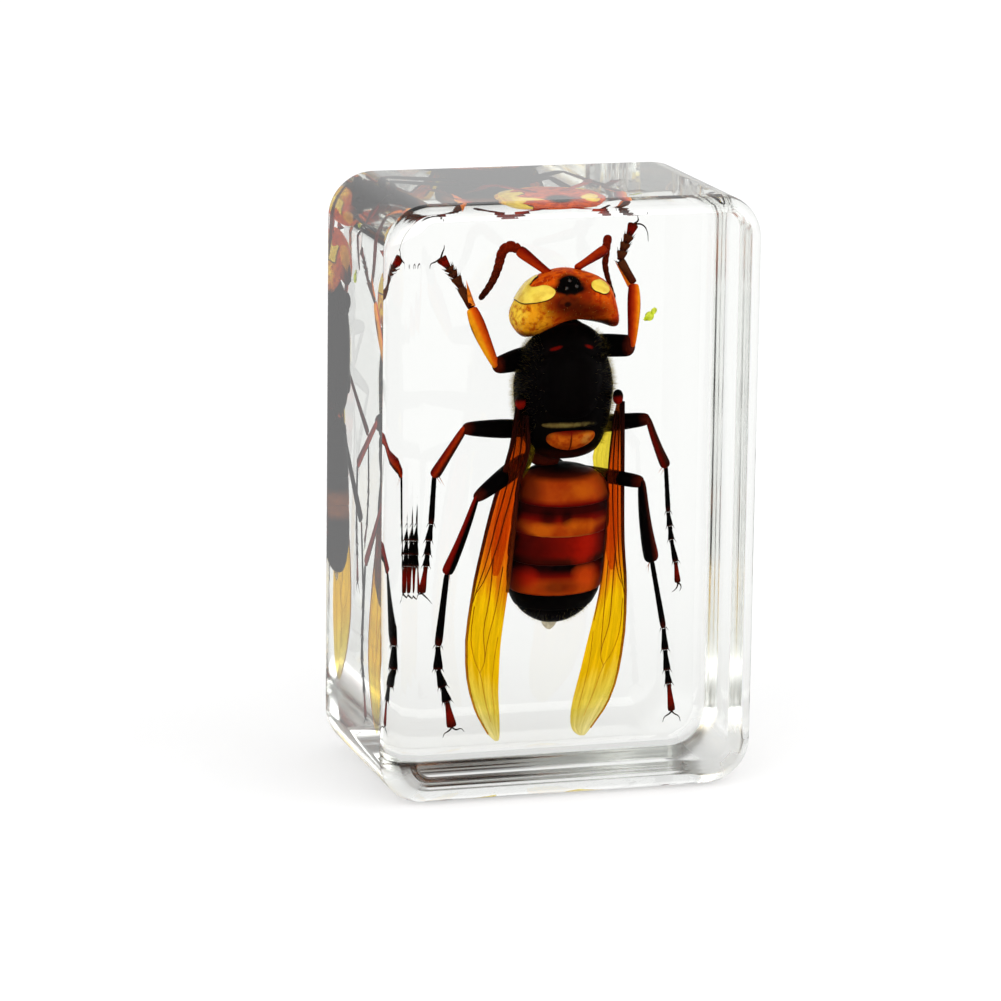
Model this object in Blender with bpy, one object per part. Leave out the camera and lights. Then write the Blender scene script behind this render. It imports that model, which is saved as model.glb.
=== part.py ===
"""Insect in resin block: the clear cast block that holds the insect.

The block stands upright on its flat base. Its outline has one corner radius all round. The broad
front face was polished by hand after casting, so its edge is a row of soft flats that lean back
further and further, where the back edge only has its sharpness taken off.

Units are metres. +Z is up, the broad front face looks along -Y, and the origin is the middle of
the base.
"""

import math

import bmesh
import bpy
from mathutils import Matrix

# Driving dimensions of the block.
BLOCK_WIDTH = 0.045
BLOCK_DEPTH = 0.0295
BLOCK_HEIGHT = 0.070
CORNER_RADIUS = 0.0054
BACK_EDGE_ROUNDING = 0.0015

# The polished front edge, from the side of the block to the front face: how wide each flat is, and
# how far it leans back from the front face in degrees.
FRONT_EDGE_FLATS = (
    (0.0006, 80.5),
    (0.0006, 61.5),
    (0.0011, 45.0),
    (0.0006, 30.0),
    (0.00175, 16.5),
    (0.0003, 5.0),
)

# How finely the round edges are cut.
CORNER_SEGMENTS = 10
BACK_EDGE_SEGMENTS = 3
SHARPEST_SMOOTH_EDGE = math.radians(35)

# Finish of the polished resin.
RESIN_COLOUR = (0.95, 0.96, 0.95, 1.0)
RESIN_ROUGHNESS = 0.02
RESIN_IOR = 1.54

COLLECTION_NAME = "insect_in_resin_block"
SMALL = 1e-6


def clear_scene():
    """Remove whatever the open file holds."""
    for obj in list(bpy.data.objects):
        bpy.data.objects.remove(obj, do_unlink=True)


def make_collection(name):
    """Make the collection that the pieces go in."""
    collection = bpy.data.collections.new(name)
    bpy.context.scene.collection.children.link(collection)
    return collection


def resin_material():
    """Clear cast resin with a polished surface."""
    material = bpy.data.materials.new("clear_resin")
    material.use_nodes = True
    shader = material.node_tree.nodes["Principled BSDF"]
    shader.inputs["Base Color"].default_value = RESIN_COLOUR
    shader.inputs["Metallic"].default_value = 0.0
    shader.inputs["Roughness"].default_value = RESIN_ROUGHNESS
    shader.inputs["IOR"].default_value = RESIN_IOR
    shader.inputs["Transmission Weight"].default_value = 1.0
    return material


def flat_steps(width, lean):
    """How far a leaning flat reaches in from the side, and how far it rises towards the front."""
    angle = math.radians(lean)
    return width * math.cos(angle), width * math.sin(angle)


def front_edge_rise():
    """How far the polished edge reaches back along the sides of the block."""
    return sum(flat_steps(width, lean)[1] for width, lean in FRONT_EDGE_FLATS)


def unpolished_box():
    """The block without its polished front edge: a plain box that stands on z = 0."""
    depth = BLOCK_DEPTH - front_edge_rise()
    mesh = bmesh.new()
    bmesh.ops.create_cube(mesh, size=1.0)
    size = Matrix.Diagonal((BLOCK_WIDTH, depth, BLOCK_HEIGHT, 1.0))
    place = Matrix.Translation((0.0, (BLOCK_DEPTH - depth) / 2, BLOCK_HEIGHT / 2))
    bmesh.ops.transform(mesh, matrix=place @ size, verts=mesh.verts)
    return mesh


def round_edges(mesh, edges, radius, segments):
    """Round the given edges to a quarter circle."""
    bmesh.ops.bevel(
        mesh,
        geom=edges,
        offset=radius,
        offset_type="OFFSET",
        segments=segments,
        profile=0.5,
        affect="EDGES",
        clamp_overlap=True,
    )


def depth_edges(mesh):
    """The four edges that run from the front face to the back face."""
    return [edge for edge in mesh.edges if abs(edge.verts[0].co.y - edge.verts[1].co.y) > SMALL]


def back_outline(mesh):
    """The edges round the back face."""
    back = BLOCK_DEPTH / 2
    return [edge for edge in mesh.edges if all(abs(vert.co.y - back) < SMALL for vert in edge.verts)]


def front_face(mesh):
    """The one flat face that looks along -Y."""
    return min(mesh.faces, key=lambda face: face.calc_center_median().y)


def polish_front_edge(mesh):
    """Draw the front face in and forward once for each flat of the polished edge."""
    for width, lean in FRONT_EDGE_FLATS:
        inward, forward = flat_steps(width, lean)
        bmesh.ops.inset_region(
            mesh,
            faces=[front_face(mesh)],
            thickness=inward,
            depth=forward,
            use_boundary=True,
            use_even_offset=True,
        )


def resin_block(collection):
    """The cast block: its corners are rounded first, then the edges of its two large faces."""
    mesh = unpolished_box()
    round_edges(mesh, depth_edges(mesh), CORNER_RADIUS, CORNER_SEGMENTS)
    round_edges(mesh, back_outline(mesh), BACK_EDGE_ROUNDING, BACK_EDGE_SEGMENTS)
    polish_front_edge(mesh)

    data = bpy.data.meshes.new("resin_block")
    mesh.to_mesh(data)
    mesh.free()
    data.shade_smooth()
    data.set_sharp_from_angle(angle=SHARPEST_SMOOTH_EDGE)
    data.materials.append(resin_material())
    block = bpy.data.objects.new("resin_block", data)
    collection.objects.link(block)
    return block


def main():
    clear_scene()
    resin_block(make_collection(COLLECTION_NAME))


main()
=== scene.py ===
"""Insect in a resin block: the looks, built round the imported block."""

import math

import bmesh
import bpy
from bpy.props import FloatProperty, FloatVectorProperty, IntProperty, PointerProperty
from mathutils import Matrix, Vector


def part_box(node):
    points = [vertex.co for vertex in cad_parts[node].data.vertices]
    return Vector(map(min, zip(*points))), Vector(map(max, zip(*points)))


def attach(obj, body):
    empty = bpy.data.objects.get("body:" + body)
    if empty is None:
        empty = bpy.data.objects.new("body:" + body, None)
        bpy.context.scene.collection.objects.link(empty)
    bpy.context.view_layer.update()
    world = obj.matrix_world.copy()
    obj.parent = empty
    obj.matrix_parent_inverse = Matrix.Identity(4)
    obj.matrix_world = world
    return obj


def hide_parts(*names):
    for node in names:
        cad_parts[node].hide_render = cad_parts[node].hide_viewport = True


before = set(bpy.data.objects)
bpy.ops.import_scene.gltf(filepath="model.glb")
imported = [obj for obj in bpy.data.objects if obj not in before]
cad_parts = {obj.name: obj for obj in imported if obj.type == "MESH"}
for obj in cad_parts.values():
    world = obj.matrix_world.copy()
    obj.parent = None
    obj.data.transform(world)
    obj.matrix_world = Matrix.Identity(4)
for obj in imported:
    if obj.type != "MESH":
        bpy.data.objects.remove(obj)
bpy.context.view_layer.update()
BLOCK_LOW, BLOCK_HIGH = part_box("resin_block")

bl_info = {
    "name": "Insect in Resin Block",
    "version": (1, 0, 0),
    "blender": (4, 5, 0),
    "location": "View3D > Sidebar > Specimen",
    "description": "Builds a hornet cast in a clear polished resin block",
    "category": "Add Mesh",
}

MM = 0.001
# Points nearer than this, in metres, are one point.
MERGE_DISTANCE = 1e-7


# ---------------------------------------------------------------- settings


def linear(hex_colour):
    """An sRGB hex colour as linear red, green and blue."""
    shares = [int(hex_colour[i : i + 2], 16) / 255 for i in (1, 3, 5)]
    return tuple(s / 12.92 if s <= 0.04045 else ((s + 0.055) / 1.055) ** 2.4 for s in shares)


def colour(label, hex_colour, about):
    """A colour that a user can change."""
    return FloatVectorProperty(
        name=label, description=about, subtype="COLOR", size=3, min=0, max=1, default=linear(hex_colour)
    )


def length(label, millimetres, about):
    """A length that a user can change."""
    return FloatProperty(name=label, description=about, unit="LENGTH", min=0, default=millimetres * MM)


def level(label, default, about):
    """A plain number that a user can change."""
    return FloatProperty(name=label, description=about, min=0, default=default)


class ResinBlockSettings(bpy.types.PropertyGroup):
    """Sizes and colour of the cast block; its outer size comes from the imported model."""

    corner_radius: length("Corner radius", 5.4, "Radius of the four corners seen from the front")
    back_rounding: length("Back rounding", 2.1, "Radius of the polished edge round the back face")
    corner_steps: IntProperty(name="Corner steps", description="Faces round one corner", min=4, default=20)
    edge_steps: IntProperty(name="Edge steps", description="Steps in each arc of an edge", min=2, default=8)
    edge_haze: level("Edge haze", 0.3, "Roughness of the buffed edges")
    tint: colour("Tint", "#F6F7F5", "What a thick layer of the resin does to white light")


class HornetSettings(bpy.types.PropertyGroup):
    """Girths, hair and colours of the hornet in the block."""

    limb_girth: level("Limb girth", 1.0, "Thickness of the legs")
    antenna_girth: level("Antenna girth", 1.0, "Thickness of the antennae")
    wing_thickness: length("Wing thickness", 0.04, "Thickness of the wing membrane")
    hair_length: length("Hair length", 0.75, "Length of the hair on the thorax")
    hair_girth: length("Hair girth", 0.016, "Half thickness of one hair at its root")
    head: colour("Head", "#E05A08", "Orange cuticle of the head")
    # The cheek colour is painted light on the left cheek, where light comes through the edge of the head; the
    # face shield takes it too.
    cheek: colour("Cheek", "#F0A018", "Golden cuticle of the left cheek")
    eye: colour("Eye", "#FCDC50", "Compound eyes")
    # Brown is also painted shade in the middle and at the bottom left of the head.
    brown: colour("Brown", "#3F0E03", "Brown mottling and joints")
    # Black is also painted shade on both edges of the abdomen.
    black: colour("Black", "#030101", "Black cuticle of the thorax and the tail")
    ember: colour("Ember", "#750B02", "Deep red cuticle of the abdomen")
    coal: colour("Coal", "#330301", "Red-black cuticle where the plates of the abdomen overlap")
    flame: colour("Flame", "#AD3F08", "Orange bands of the abdomen and thorax")
    tan: colour("Tan", "#B27A32", "Pale rims of the plates")
    shin: colour("Shin", "#AA2D03", "Red-orange shins")
    amber: colour("Amber", "#FFC808", "Wing membrane in its lower half")
    straw: colour("Straw", "#FFF0A0", "Wing membrane at the tip")
    smoke: colour("Smoke", "#E05A0C", "Wing membrane at the root, where its folds lie over each other")
    vein: colour("Vein", "#5A2205", "Wing veins")
    hair: colour("Hair", "#BEA954", "Hair on the thorax")


class StageSettings(bpy.types.PropertyGroup):
    """The floor and the light round the block."""

    floor_width: length("Floor width", 8000, "Side of the floor")
    floor: colour("Floor", "#C6C6C6", "Pale matt floor, before its own glow")
    glow: level("Floor glow", 0.38, "How much the floor shines, like a light table")
    overhead: level("Overhead", 0.38, "Strength of the dim ceiling")
    front: level("Front", 3.1, "Strength of the soft light in front")
    back: level("Back", 0.85, "Strength of the wall behind")
    cove: level("Cove", 1.05, "Strength of the wall where it curves over")
    table: level("Table", 0.62, "What reflections see of the far table")
    gloom: level("Gloom", 0.01, "What reflections see below the camera")


# ---------------------------------------------------------------- modelling helpers


def activate(piece):
    """Selects one piece alone and makes it the active one."""
    bpy.ops.object.select_all(action="DESELECT")
    piece.select_set(True)
    bpy.context.view_layer.objects.active = piece


def select_where(piece, kind, test):
    """In edit mode, selects the verts, edges or faces that pass the test, and no others."""
    shape = bmesh.from_edit_mesh(piece.data)
    bpy.ops.mesh.select_all(action="DESELECT")
    for part in getattr(shape, kind):
        if test(part):
            part.select_set(True)
    bmesh.update_edit_mesh(piece.data)


def settle(piece):
    """Moves the piece's place into its mesh, so that its object sits at the origin."""
    activate(piece)
    bpy.ops.object.transform_apply(location=True, rotation=True, scale=True)


def apply_modifier(piece, kind, **settings):
    """Adds a modifier with these settings and applies it."""
    activate(piece)
    modifier = piece.modifiers.new(kind.title(), kind)
    for setting, value in settings.items():
        setattr(modifier, setting, value)
    bpy.ops.object.modifier_apply(modifier=modifier.name)


def face_outwards():
    """Turns all faces of the piece in edit mode outwards, and leaves edit mode."""
    bpy.ops.mesh.select_all(action="SELECT")
    bpy.ops.mesh.normals_make_consistent(inside=False)
    bpy.ops.object.mode_set(mode="OBJECT")


def keep(piece, name, material, smooth_angle=60):
    """Names, paints and shades a finished piece, and makes it move with the block."""
    settle(piece)
    piece.name = name
    piece.data.name = name
    piece.data.materials.clear()
    piece.data.materials.append(material)
    bpy.ops.object.shade_smooth_by_angle(angle=math.radians(smooth_angle))
    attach(piece, "root")
    return piece


def join(pieces):
    """Joins the pieces into the first one."""
    bpy.ops.object.select_all(action="DESELECT")
    for piece in pieces:
        piece.select_set(True)
    bpy.context.view_layer.objects.active = pieces[0]
    if len(pieces) > 1:
        bpy.ops.object.join()
    return bpy.context.object


def loft(rings, sides, along="Z", levels=2):
    """Extrudes a ring through (x, y, z, half size, half size) in mm, and smooths the closed body.

    The half sizes are those in x and y for a body along Z, and in y and z for one along X.
    """
    turn = (0, math.pi / 2, 0) if along == "X" else (0, 0, 0)
    swell = 3 / (2 + math.cos(2 * math.pi / sides))
    bpy.ops.object.select_all(action="DESELECT")
    places = [Vector(ring[:3]) * MM for ring in rings]
    bpy.ops.mesh.primitive_circle_add(
        vertices=sides, radius=MM * swell, fill_type="NGON", location=places[0], rotation=turn
    )
    piece = bpy.context.object
    bpy.ops.object.mode_set(mode="EDIT")
    bpy.ops.mesh.select_all(action="SELECT")
    before = (1, 1)
    for place, previous, ring in zip(places, [None] + places, rings):
        if previous is not None:
            bpy.ops.mesh.extrude_region_move(TRANSFORM_OT_translate={"value": place - previous})
        ratio = (ring[3] / before[0], ring[4] / before[1])
        value = (1, *ratio) if along == "X" else (*ratio, 1)
        bpy.ops.transform.resize(value=value, center_override=place)
        before = ring[3:]
    face_outwards()
    apply_modifier(piece, "SUBSURF", levels=levels, render_levels=levels)
    settle(piece)
    return piece


def note(piece, name, rule):
    """Writes a number for each vertex, worked out from its place in mm, for a material to read."""
    numbers = piece.data.attributes.new(name, "FLOAT", "POINT")
    numbers.data.foreach_set("value", [rule(vertex.co / MM) for vertex in piece.data.vertices])


LIMB_SIDES = 12


def limb(start, end, profile, levels=1):
    """A straight limb part from start to end in mm.

    profile holds (share of the length, half width, half depth, sideways bow) in mm. The width is what
    shows from the front. The attribute along runs 0 to 1 from start to end, and side -1 to 1 across.
    """
    start, end = Vector(start), Vector(end)
    reach = (end - start).length
    widest = max(width for _, width, _, _ in profile)
    rings = [(bow, 0, share * reach, width, depth) for share, width, depth, bow in profile]
    piece = loft(rings, LIMB_SIDES, levels=levels)
    note(piece, "along", lambda place: place.z / reach)
    note(piece, "side", lambda place: place.x / widest)
    forward = (end - start).normalized()
    across = Vector((0, 1, 0)).cross(forward).normalized()
    turn = Matrix((across, forward.cross(across), forward)).transposed().to_4x4()
    piece.matrix_world = Matrix.Translation(start * MM) @ turn
    settle(piece)
    return piece


def curve_piece(points, radii, closed, **settings):
    """The mesh of a smooth curve through points in mm, from its radii and these curve settings."""
    line = bpy.data.curves.new("line", "CURVE")
    for setting, value in settings.items():
        setattr(line, setting, value)
    spline = line.splines.new("BEZIER")
    spline.use_cyclic_u = closed
    spline.bezier_points.add(len(points) - 1)
    for knot, point, radius in zip(spline.bezier_points, points, radii):
        knot.co = Vector(point) * MM
        knot.radius = radius
        knot.handle_left_type = "AUTO"
        knot.handle_right_type = "AUTO"
    piece = bpy.data.objects.new("line", line)
    bpy.context.scene.collection.objects.link(piece)
    activate(piece)
    bpy.ops.object.convert(target="MESH")
    bpy.ops.object.mode_set(mode="EDIT")
    bpy.ops.mesh.select_all(action="SELECT")
    bpy.ops.mesh.remove_doubles(threshold=MERGE_DISTANCE)
    face_outwards()
    return bpy.context.object


def strand(points, radii, smooth=3):
    """A tapering round strand through points in mm."""
    return curve_piece(
        points,
        radii,
        closed=False,
        dimensions="3D",
        bevel_depth=MM,
        bevel_resolution=1,
        resolution_u=smooth,
        use_fill_caps=True,
    )


def spines(tips):
    """Straight pointed spines, each from a root to a tip in mm with a half thickness, as one mesh."""
    for number, (root, tip, girth) in enumerate(tips):
        root, tip = Vector(root) * MM, Vector(tip) * MM
        bpy.ops.mesh.primitive_cone_add(
            vertices=5,
            radius1=girth * MM,
            radius2=0,
            depth=(tip - root).length,
            location=(root + tip) / 2,
            rotation=(tip - root).to_track_quat("Z", "Y").to_euler(),
        )
        if number == 0:
            piece = bpy.context.object
            bpy.ops.object.mode_set(mode="EDIT")
    bpy.ops.object.mode_set(mode="OBJECT")
    return piece


def smooth_path(points, count):
    """count + 1 points, evenly spread, on a smooth curve through the given ones (Catmull-Rom)."""
    knots = [Vector(p) for p in points]
    knots = [2 * knots[0] - knots[1]] + knots + [2 * knots[-1] - knots[-2]]
    fine = []
    for a, b, c, d in zip(knots, knots[1:], knots[2:], knots[3:]):
        for step in range(12):
            t = step / 12
            bend = (2 * a - 5 * b + 4 * c - d) * t**2
            twist = (3 * b - a - 3 * c + d) * t**3
            fine.append(0.5 * (2 * b + (c - a) * t + bend + twist))
    fine.append(knots[-2])
    run = [0.0]
    for a, b in zip(fine, fine[1:]):
        run.append(run[-1] + (b - a).length)
    places = []
    for number in range(count + 1):
        want = run[-1] * number / count
        index = min(max(i for i, done in enumerate(run) if done <= want + 1e-9), len(fine) - 2)
        share = (want - run[index]) / (run[index + 1] - run[index])
        places.append(fine[index].lerp(fine[index + 1], share))
    return places


def on_surface(piece, x, z):
    """The point in mm on the front of a piece at that x and z."""
    hit, place, _, _ = piece.ray_cast(Vector((x * MM, BLOCK_LOW.y, z * MM)), Vector((0, 1, 0)))
    if not hit:
        raise RuntimeError(f"nothing to stand on at x {x}, z {z}")
    return place / MM


# How much larger than a bead its cube starts, because subdivision draws it in.
BEAD_SWELL = 1.24


def ellipsoid(place, half_sizes, turn=(0, 0, 0)):
    """A smooth rounded bead in mm, from a cube rounded by subdivision."""
    bpy.ops.object.select_all(action="DESELECT")
    bpy.ops.mesh.primitive_cube_add(
        size=2, location=Vector(place) * MM, rotation=turn, scale=Vector(half_sizes) * MM * BEAD_SWELL
    )
    piece = bpy.context.object
    apply_modifier(piece, "SUBSURF", levels=3, render_levels=3)
    settle(piece)
    return piece


def outline_prism(outline, low, high):
    """A smooth closed outline of (x, z) in mm, standing from depth low to depth high."""
    piece = curve_piece(
        [(x, z, 0) for x, z in outline],
        [1] * len(outline),
        closed=True,
        dimensions="2D",
        fill_mode="BOTH",
        extrude=(high - low) / 2 * MM,
        resolution_u=5,
    )
    piece.rotation_euler = (math.pi / 2, 0, 0)
    piece.location = (0, (low + high) / 2 * MM, 0)
    settle(piece)
    return piece


def cut_from(body, outline, low, high, swell):
    """The part of a slightly swollen copy of body that lies inside an outline."""
    prism = outline_prism(outline, low, high)
    piece = body.copy()
    piece.data = body.data.copy()
    bpy.context.scene.collection.objects.link(piece)
    piece.parent = None
    middle = sum((Vector(c) for c in body.bound_box), Vector()) / 8
    piece.data.transform(Matrix.Translation(middle) @ Matrix.Scale(swell, 4) @ Matrix.Translation(-middle))
    apply_modifier(piece, "BOOLEAN", object=prism, operation="INTERSECT", solver="EXACT")
    bpy.data.objects.remove(prism)
    return piece


# ---------------------------------------------------------------- material helpers


def add_node(tree, kind, inputs=(), stops=(), **settings):
    """Adds a node with its settings. inputs pairs a socket with a value, a node or a node's output."""
    node = tree.nodes.new(kind)
    for setting, value in settings.items():
        setattr(node, setting, value)
    for socket, value in dict(inputs).items():
        if isinstance(value, bpy.types.Node):
            value = value.outputs[0]
        if isinstance(value, bpy.types.NodeSocket):
            tree.links.new(value, node.inputs[socket])
        else:
            node.inputs[socket].default_value = value
    for number, (place, shade) in enumerate(stops):
        ramp = node.color_ramp.elements
        stop = ramp[number] if number < 2 else ramp.new(place)
        stop.position = place
        stop.color = (*shade, 1)
    return node


def new_material(name):
    """An empty node material, its node tree and its Object coordinates."""
    material = bpy.data.materials.new(name)
    material.use_nodes = True
    tree = material.node_tree
    tree.nodes.clear()
    return material, tree, add_node(tree, "ShaderNodeTexCoord").outputs["Object"]


def per_mm(size):
    """The scale that gives a pattern features of that size in mm."""
    return 1 / (size * MM)


# Size of the punctures of a plate in mm, and the roughness and specular level of waxy chitin in resin.
PIT_SIZE = 0.1
CHITIN_ROUGHNESS = 0.42
CHITIN_GLOSS = 0.01
# What darkens a plate where it is mottled.
MOTTLE = (0.5, 0.12, 0.03, 1)
# The turn of a patch that stands straight.
UPRIGHT = (0, 0, 0)


def cuticle(name, place, colours, patches=(), mottle=0.35, mottle_mm=0.7, pits=0.25):
    """Chitin plate: colours that run along an axis or an attribute, mottled, with fine punctures.

    colours pairs a place (mm, or a share for an attribute) with a colour. patches holds
    (colour, centre, half sizes, turn, softness, strength) in mm. Some of the colours and patches
    are painted light or shade.
    """
    material, tree, coordinates = new_material(name)
    wobble = add_node(
        tree, "ShaderNodeTexNoise", {"Vector": coordinates, "Scale": per_mm(mottle_mm), "Detail": 4}
    )
    low, high = colours[0][0], colours[-1][0]
    if place in "xyz":
        split = add_node(tree, "ShaderNodeSeparateXYZ", {0: coordinates})
        position = split.outputs["xyz".index(place)]
        span = (low * MM, high * MM)
        drift = 0.5 * MM
    else:
        position = add_node(tree, "ShaderNodeAttribute", attribute_name=place).outputs["Fac"]
        span = (low, high)
        drift = 0.05 * (high - low)
    sway = add_node(tree, "ShaderNodeMath", {0: wobble.outputs["Fac"], 1: 0.5}, operation="SUBTRACT")
    shift = add_node(tree, "ShaderNodeMath", {0: sway, 1: drift, 2: position}, operation="MULTIPLY_ADD")
    share = add_node(tree, "ShaderNodeMapRange", {"Value": shift, "From Min": span[0], "From Max": span[1]})
    stops = [((at - low) / (high - low), shade) for at, shade in colours]
    base = add_node(tree, "ShaderNodeValToRGB", {0: share}, stops).outputs["Color"]
    for shade, centre, half_sizes, turn, softness, strength in patches:
        local = add_node(
            tree,
            "ShaderNodeMapping",
            {
                "Vector": coordinates,
                "Location": Vector(centre) * MM,
                "Rotation": turn,
                "Scale": Vector(half_sizes) * MM,
            },
            vector_type="TEXTURE",
        )
        distance = add_node(tree, "ShaderNodeVectorMath", {0: local}, operation="LENGTH")
        ragged = add_node(
            tree,
            "ShaderNodeMath",
            {0: wobble.outputs["Fac"], 1: -2 * softness, 2: distance.outputs["Value"]},
            operation="MULTIPLY_ADD",
        )
        mask = add_node(
            tree,
            "ShaderNodeMapRange",
            {"Value": ragged, "From Min": 1, "From Max": 1 - 2 * softness, "To Max": strength},
        )
        base = add_node(
            tree,
            "ShaderNodeMix",
            {"Factor": mask, "A": base, "B": (*shade, 1)},
            data_type="RGBA",
        ).outputs["Result"]
    darker = add_node(
        tree,
        "ShaderNodeMapRange",
        {"Value": wobble.outputs["Fac"], "From Min": 0.36, "From Max": 0.56, "To Min": mottle, "To Max": 0.0},
    )
    shaded = add_node(
        tree,
        "ShaderNodeMix",
        {"Factor": darker, "A": base, "B": MOTTLE},
        data_type="RGBA",
        blend_type="MULTIPLY",
    )
    pitted = add_node(
        tree, "ShaderNodeTexVoronoi", {"Vector": coordinates, "Scale": per_mm(PIT_SIZE)}, feature="F1"
    )
    relief = add_node(
        tree,
        "ShaderNodeBump",
        {"Height": pitted.outputs["Distance"], "Strength": pits, "Distance": 0.03 * MM},
    )
    shine = add_node(
        tree,
        "ShaderNodeMapRange",
        {
            "Value": wobble.outputs["Fac"],
            "To Min": CHITIN_ROUGHNESS - 0.12,
            "To Max": CHITIN_ROUGHNESS + 0.12,
        },
    )
    shader = add_node(
        tree,
        "ShaderNodeBsdfPrincipled",
        {
            "Base Color": shaded.outputs["Result"],
            "Roughness": shine,
            "IOR": 1.56,
            "Specular IOR Level": CHITIN_GLOSS,
            "Normal": relief,
        },
    )
    add_node(tree, "ShaderNodeOutputMaterial", {"Surface": shader})
    return material


def cast_resin(tint, edge_haze):
    """Polyester casting resin: clear, flat faces polished, hand-buffed edges left a little hazy."""
    material, tree, coordinates = new_material("polished_casting_resin")
    buffing = add_node(tree, "ShaderNodeTexNoise", {"Vector": coordinates, "Scale": per_mm(9), "Detail": 3})
    buffed = add_node(tree, "ShaderNodeAttribute", attribute_name="buffed").outputs["Fac"]
    fine = add_node(
        tree, "ShaderNodeMapRange", {"Value": buffing.outputs["Fac"], "To Min": 0.0, "To Max": 0.006}
    )
    haze = add_node(tree, "ShaderNodeMath", {0: buffed, 1: edge_haze, 2: fine}, operation="MULTIPLY_ADD")
    shader = add_node(
        tree,
        "ShaderNodeBsdfPrincipled",
        {"Base Color": (1, 1, 1, 1), "Roughness": haze, "IOR": 1.54, "Transmission Weight": 1.0},
    )
    depth = add_node(tree, "ShaderNodeVolumeAbsorption", {"Color": (*tint, 1), "Density": 33.0})
    add_node(tree, "ShaderNodeOutputMaterial", {"Surface": shader, "Volume": depth})
    return material


def compound_eye(yellow):
    """Corneal lenses over yellow pigment: smooth gloss broken by a fine net of facets."""
    material, tree, coordinates = new_material("faceted_cornea")
    facets = add_node(tree, "ShaderNodeTexVoronoi", {"Vector": coordinates, "Scale": per_mm(0.06)})
    cloud = add_node(tree, "ShaderNodeTexNoise", {"Vector": coordinates, "Scale": per_mm(1.2), "Detail": 3})
    deep = tuple(share * factor for share, factor in zip(yellow, (0.82, 0.7, 0.5)))
    paint = add_node(
        tree, "ShaderNodeValToRGB", {0: cloud.outputs["Fac"]}, [(0.35, deep), (0.6, tuple(yellow))]
    )
    relief = add_node(
        tree,
        "ShaderNodeBump",
        {"Height": facets.outputs["Distance"], "Strength": 0.15, "Distance": 0.01 * MM},
    )
    shader = add_node(
        tree,
        "ShaderNodeBsdfPrincipled",
        {
            "Base Color": paint.outputs["Color"],
            "Roughness": 0.22,
            "IOR": 1.5,
            "Specular IOR Level": 0.25,
            "Normal": relief,
        },
    )
    add_node(tree, "ShaderNodeOutputMaterial", {"Surface": shader})
    return material


def wing_membrane(name, colours):
    """Amber chitin film: light passes it and takes its colour, in streaks that run along the wing."""
    material, tree, coordinates = new_material(name)
    across = add_node(tree, "ShaderNodeAttribute", attribute_name="across").outputs["Fac"]
    height = add_node(tree, "ShaderNodeSeparateXYZ", {0: coordinates}).outputs["Z"]
    tall = add_node(tree, "ShaderNodeMath", {0: height, 1: per_mm(9)}, operation="MULTIPLY")
    wide = add_node(tree, "ShaderNodeMath", {0: across, 1: 7.0}, operation="MULTIPLY")
    fibres = add_node(tree, "ShaderNodeCombineXYZ", {"X": wide, "Y": tall})
    streaks = add_node(
        tree, "ShaderNodeTexNoise", {"Vector": fibres, "Scale": 1.0, "Detail": 4, "Roughness": 0.6}
    )
    slant = add_node(tree, "ShaderNodeMath", {0: across, 1: 2 * MM, 2: height}, operation="MULTIPLY_ADD")
    drift = add_node(
        tree, "ShaderNodeMath", {0: streaks.outputs["Fac"], 1: 8 * MM, 2: slant}, operation="MULTIPLY_ADD"
    )
    low, high = colours[0][0], colours[-1][0]
    share = add_node(
        tree,
        "ShaderNodeMapRange",
        {"Value": drift, "From Min": (low + 5) * MM, "From Max": (high + 5) * MM},
    )
    stops = [((at - low) / (high - low), shade) for at, shade in colours]
    paint = add_node(tree, "ShaderNodeValToRGB", {0: share}, stops)
    depth = add_node(
        tree,
        "ShaderNodeMapRange",
        {"Value": streaks.outputs["Fac"], "From Min": 0.35, "From Max": 0.6, "To Min": 1.0, "To Max": 0.78},
    )
    shaded = add_node(
        tree,
        "ShaderNodeMix",
        {"Factor": 1.0, "A": paint.outputs["Color"], "B": depth},
        data_type="RGBA",
        blend_type="MULTIPLY",
    )
    shader = add_node(
        tree,
        "ShaderNodeBsdfPrincipled",
        {
            "Base Color": shaded.outputs["Result"],
            "Roughness": 0.1,
            "IOR": 1.01,
            "Specular IOR Level": 0.2,
            "Transmission Weight": 0.95,
        },
    )
    add_node(tree, "ShaderNodeOutputMaterial", {"Surface": shader})
    return material


def plain_chitin(name, shade, rough=0.4, transmission=0.0, ior=1.56, gloss=0.04):
    """Even chitin of hair, veins, claws and spines, with a slight change of tone from place to place."""
    material, tree, coordinates = new_material(name)
    noise = add_node(tree, "ShaderNodeTexNoise", {"Vector": coordinates, "Scale": per_mm(0.5), "Detail": 2})
    dark = tuple(s * 0.55 for s in shade)
    paint = add_node(
        tree, "ShaderNodeValToRGB", {0: noise.outputs["Fac"]}, [(0.35, dark), (0.65, tuple(shade))]
    )
    shader = add_node(
        tree,
        "ShaderNodeBsdfPrincipled",
        {
            "Base Color": paint.outputs["Color"],
            "Roughness": rough,
            "IOR": ior,
            "Specular IOR Level": gloss,
            "Transmission Weight": transmission,
        },
    )
    add_node(tree, "ShaderNodeOutputMaterial", {"Surface": shader})
    return material


def matt_floor(shade, glow):
    """Frosted light table: even, pale, faintly lit from within, with the faintest tooth."""
    material, tree, coordinates = new_material("frosted_light_table")
    tooth = add_node(tree, "ShaderNodeTexNoise", {"Vector": coordinates, "Scale": per_mm(1.5), "Detail": 2})
    relief = add_node(
        tree, "ShaderNodeBump", {"Height": tooth.outputs["Fac"], "Strength": 0.05, "Distance": 0.05 * MM}
    )
    shader = add_node(
        tree,
        "ShaderNodeBsdfPrincipled",
        {
            "Base Color": (*shade, 1),
            "Roughness": 0.9,
            "Specular IOR Level": 0.1,
            "Emission Color": (1, 1, 1, 1),
            "Emission Strength": glow,
            "Normal": relief,
        },
    )
    add_node(tree, "ShaderNodeOutputMaterial", {"Surface": shader})
    return material


# ---------------------------------------------------------------- the block

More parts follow.
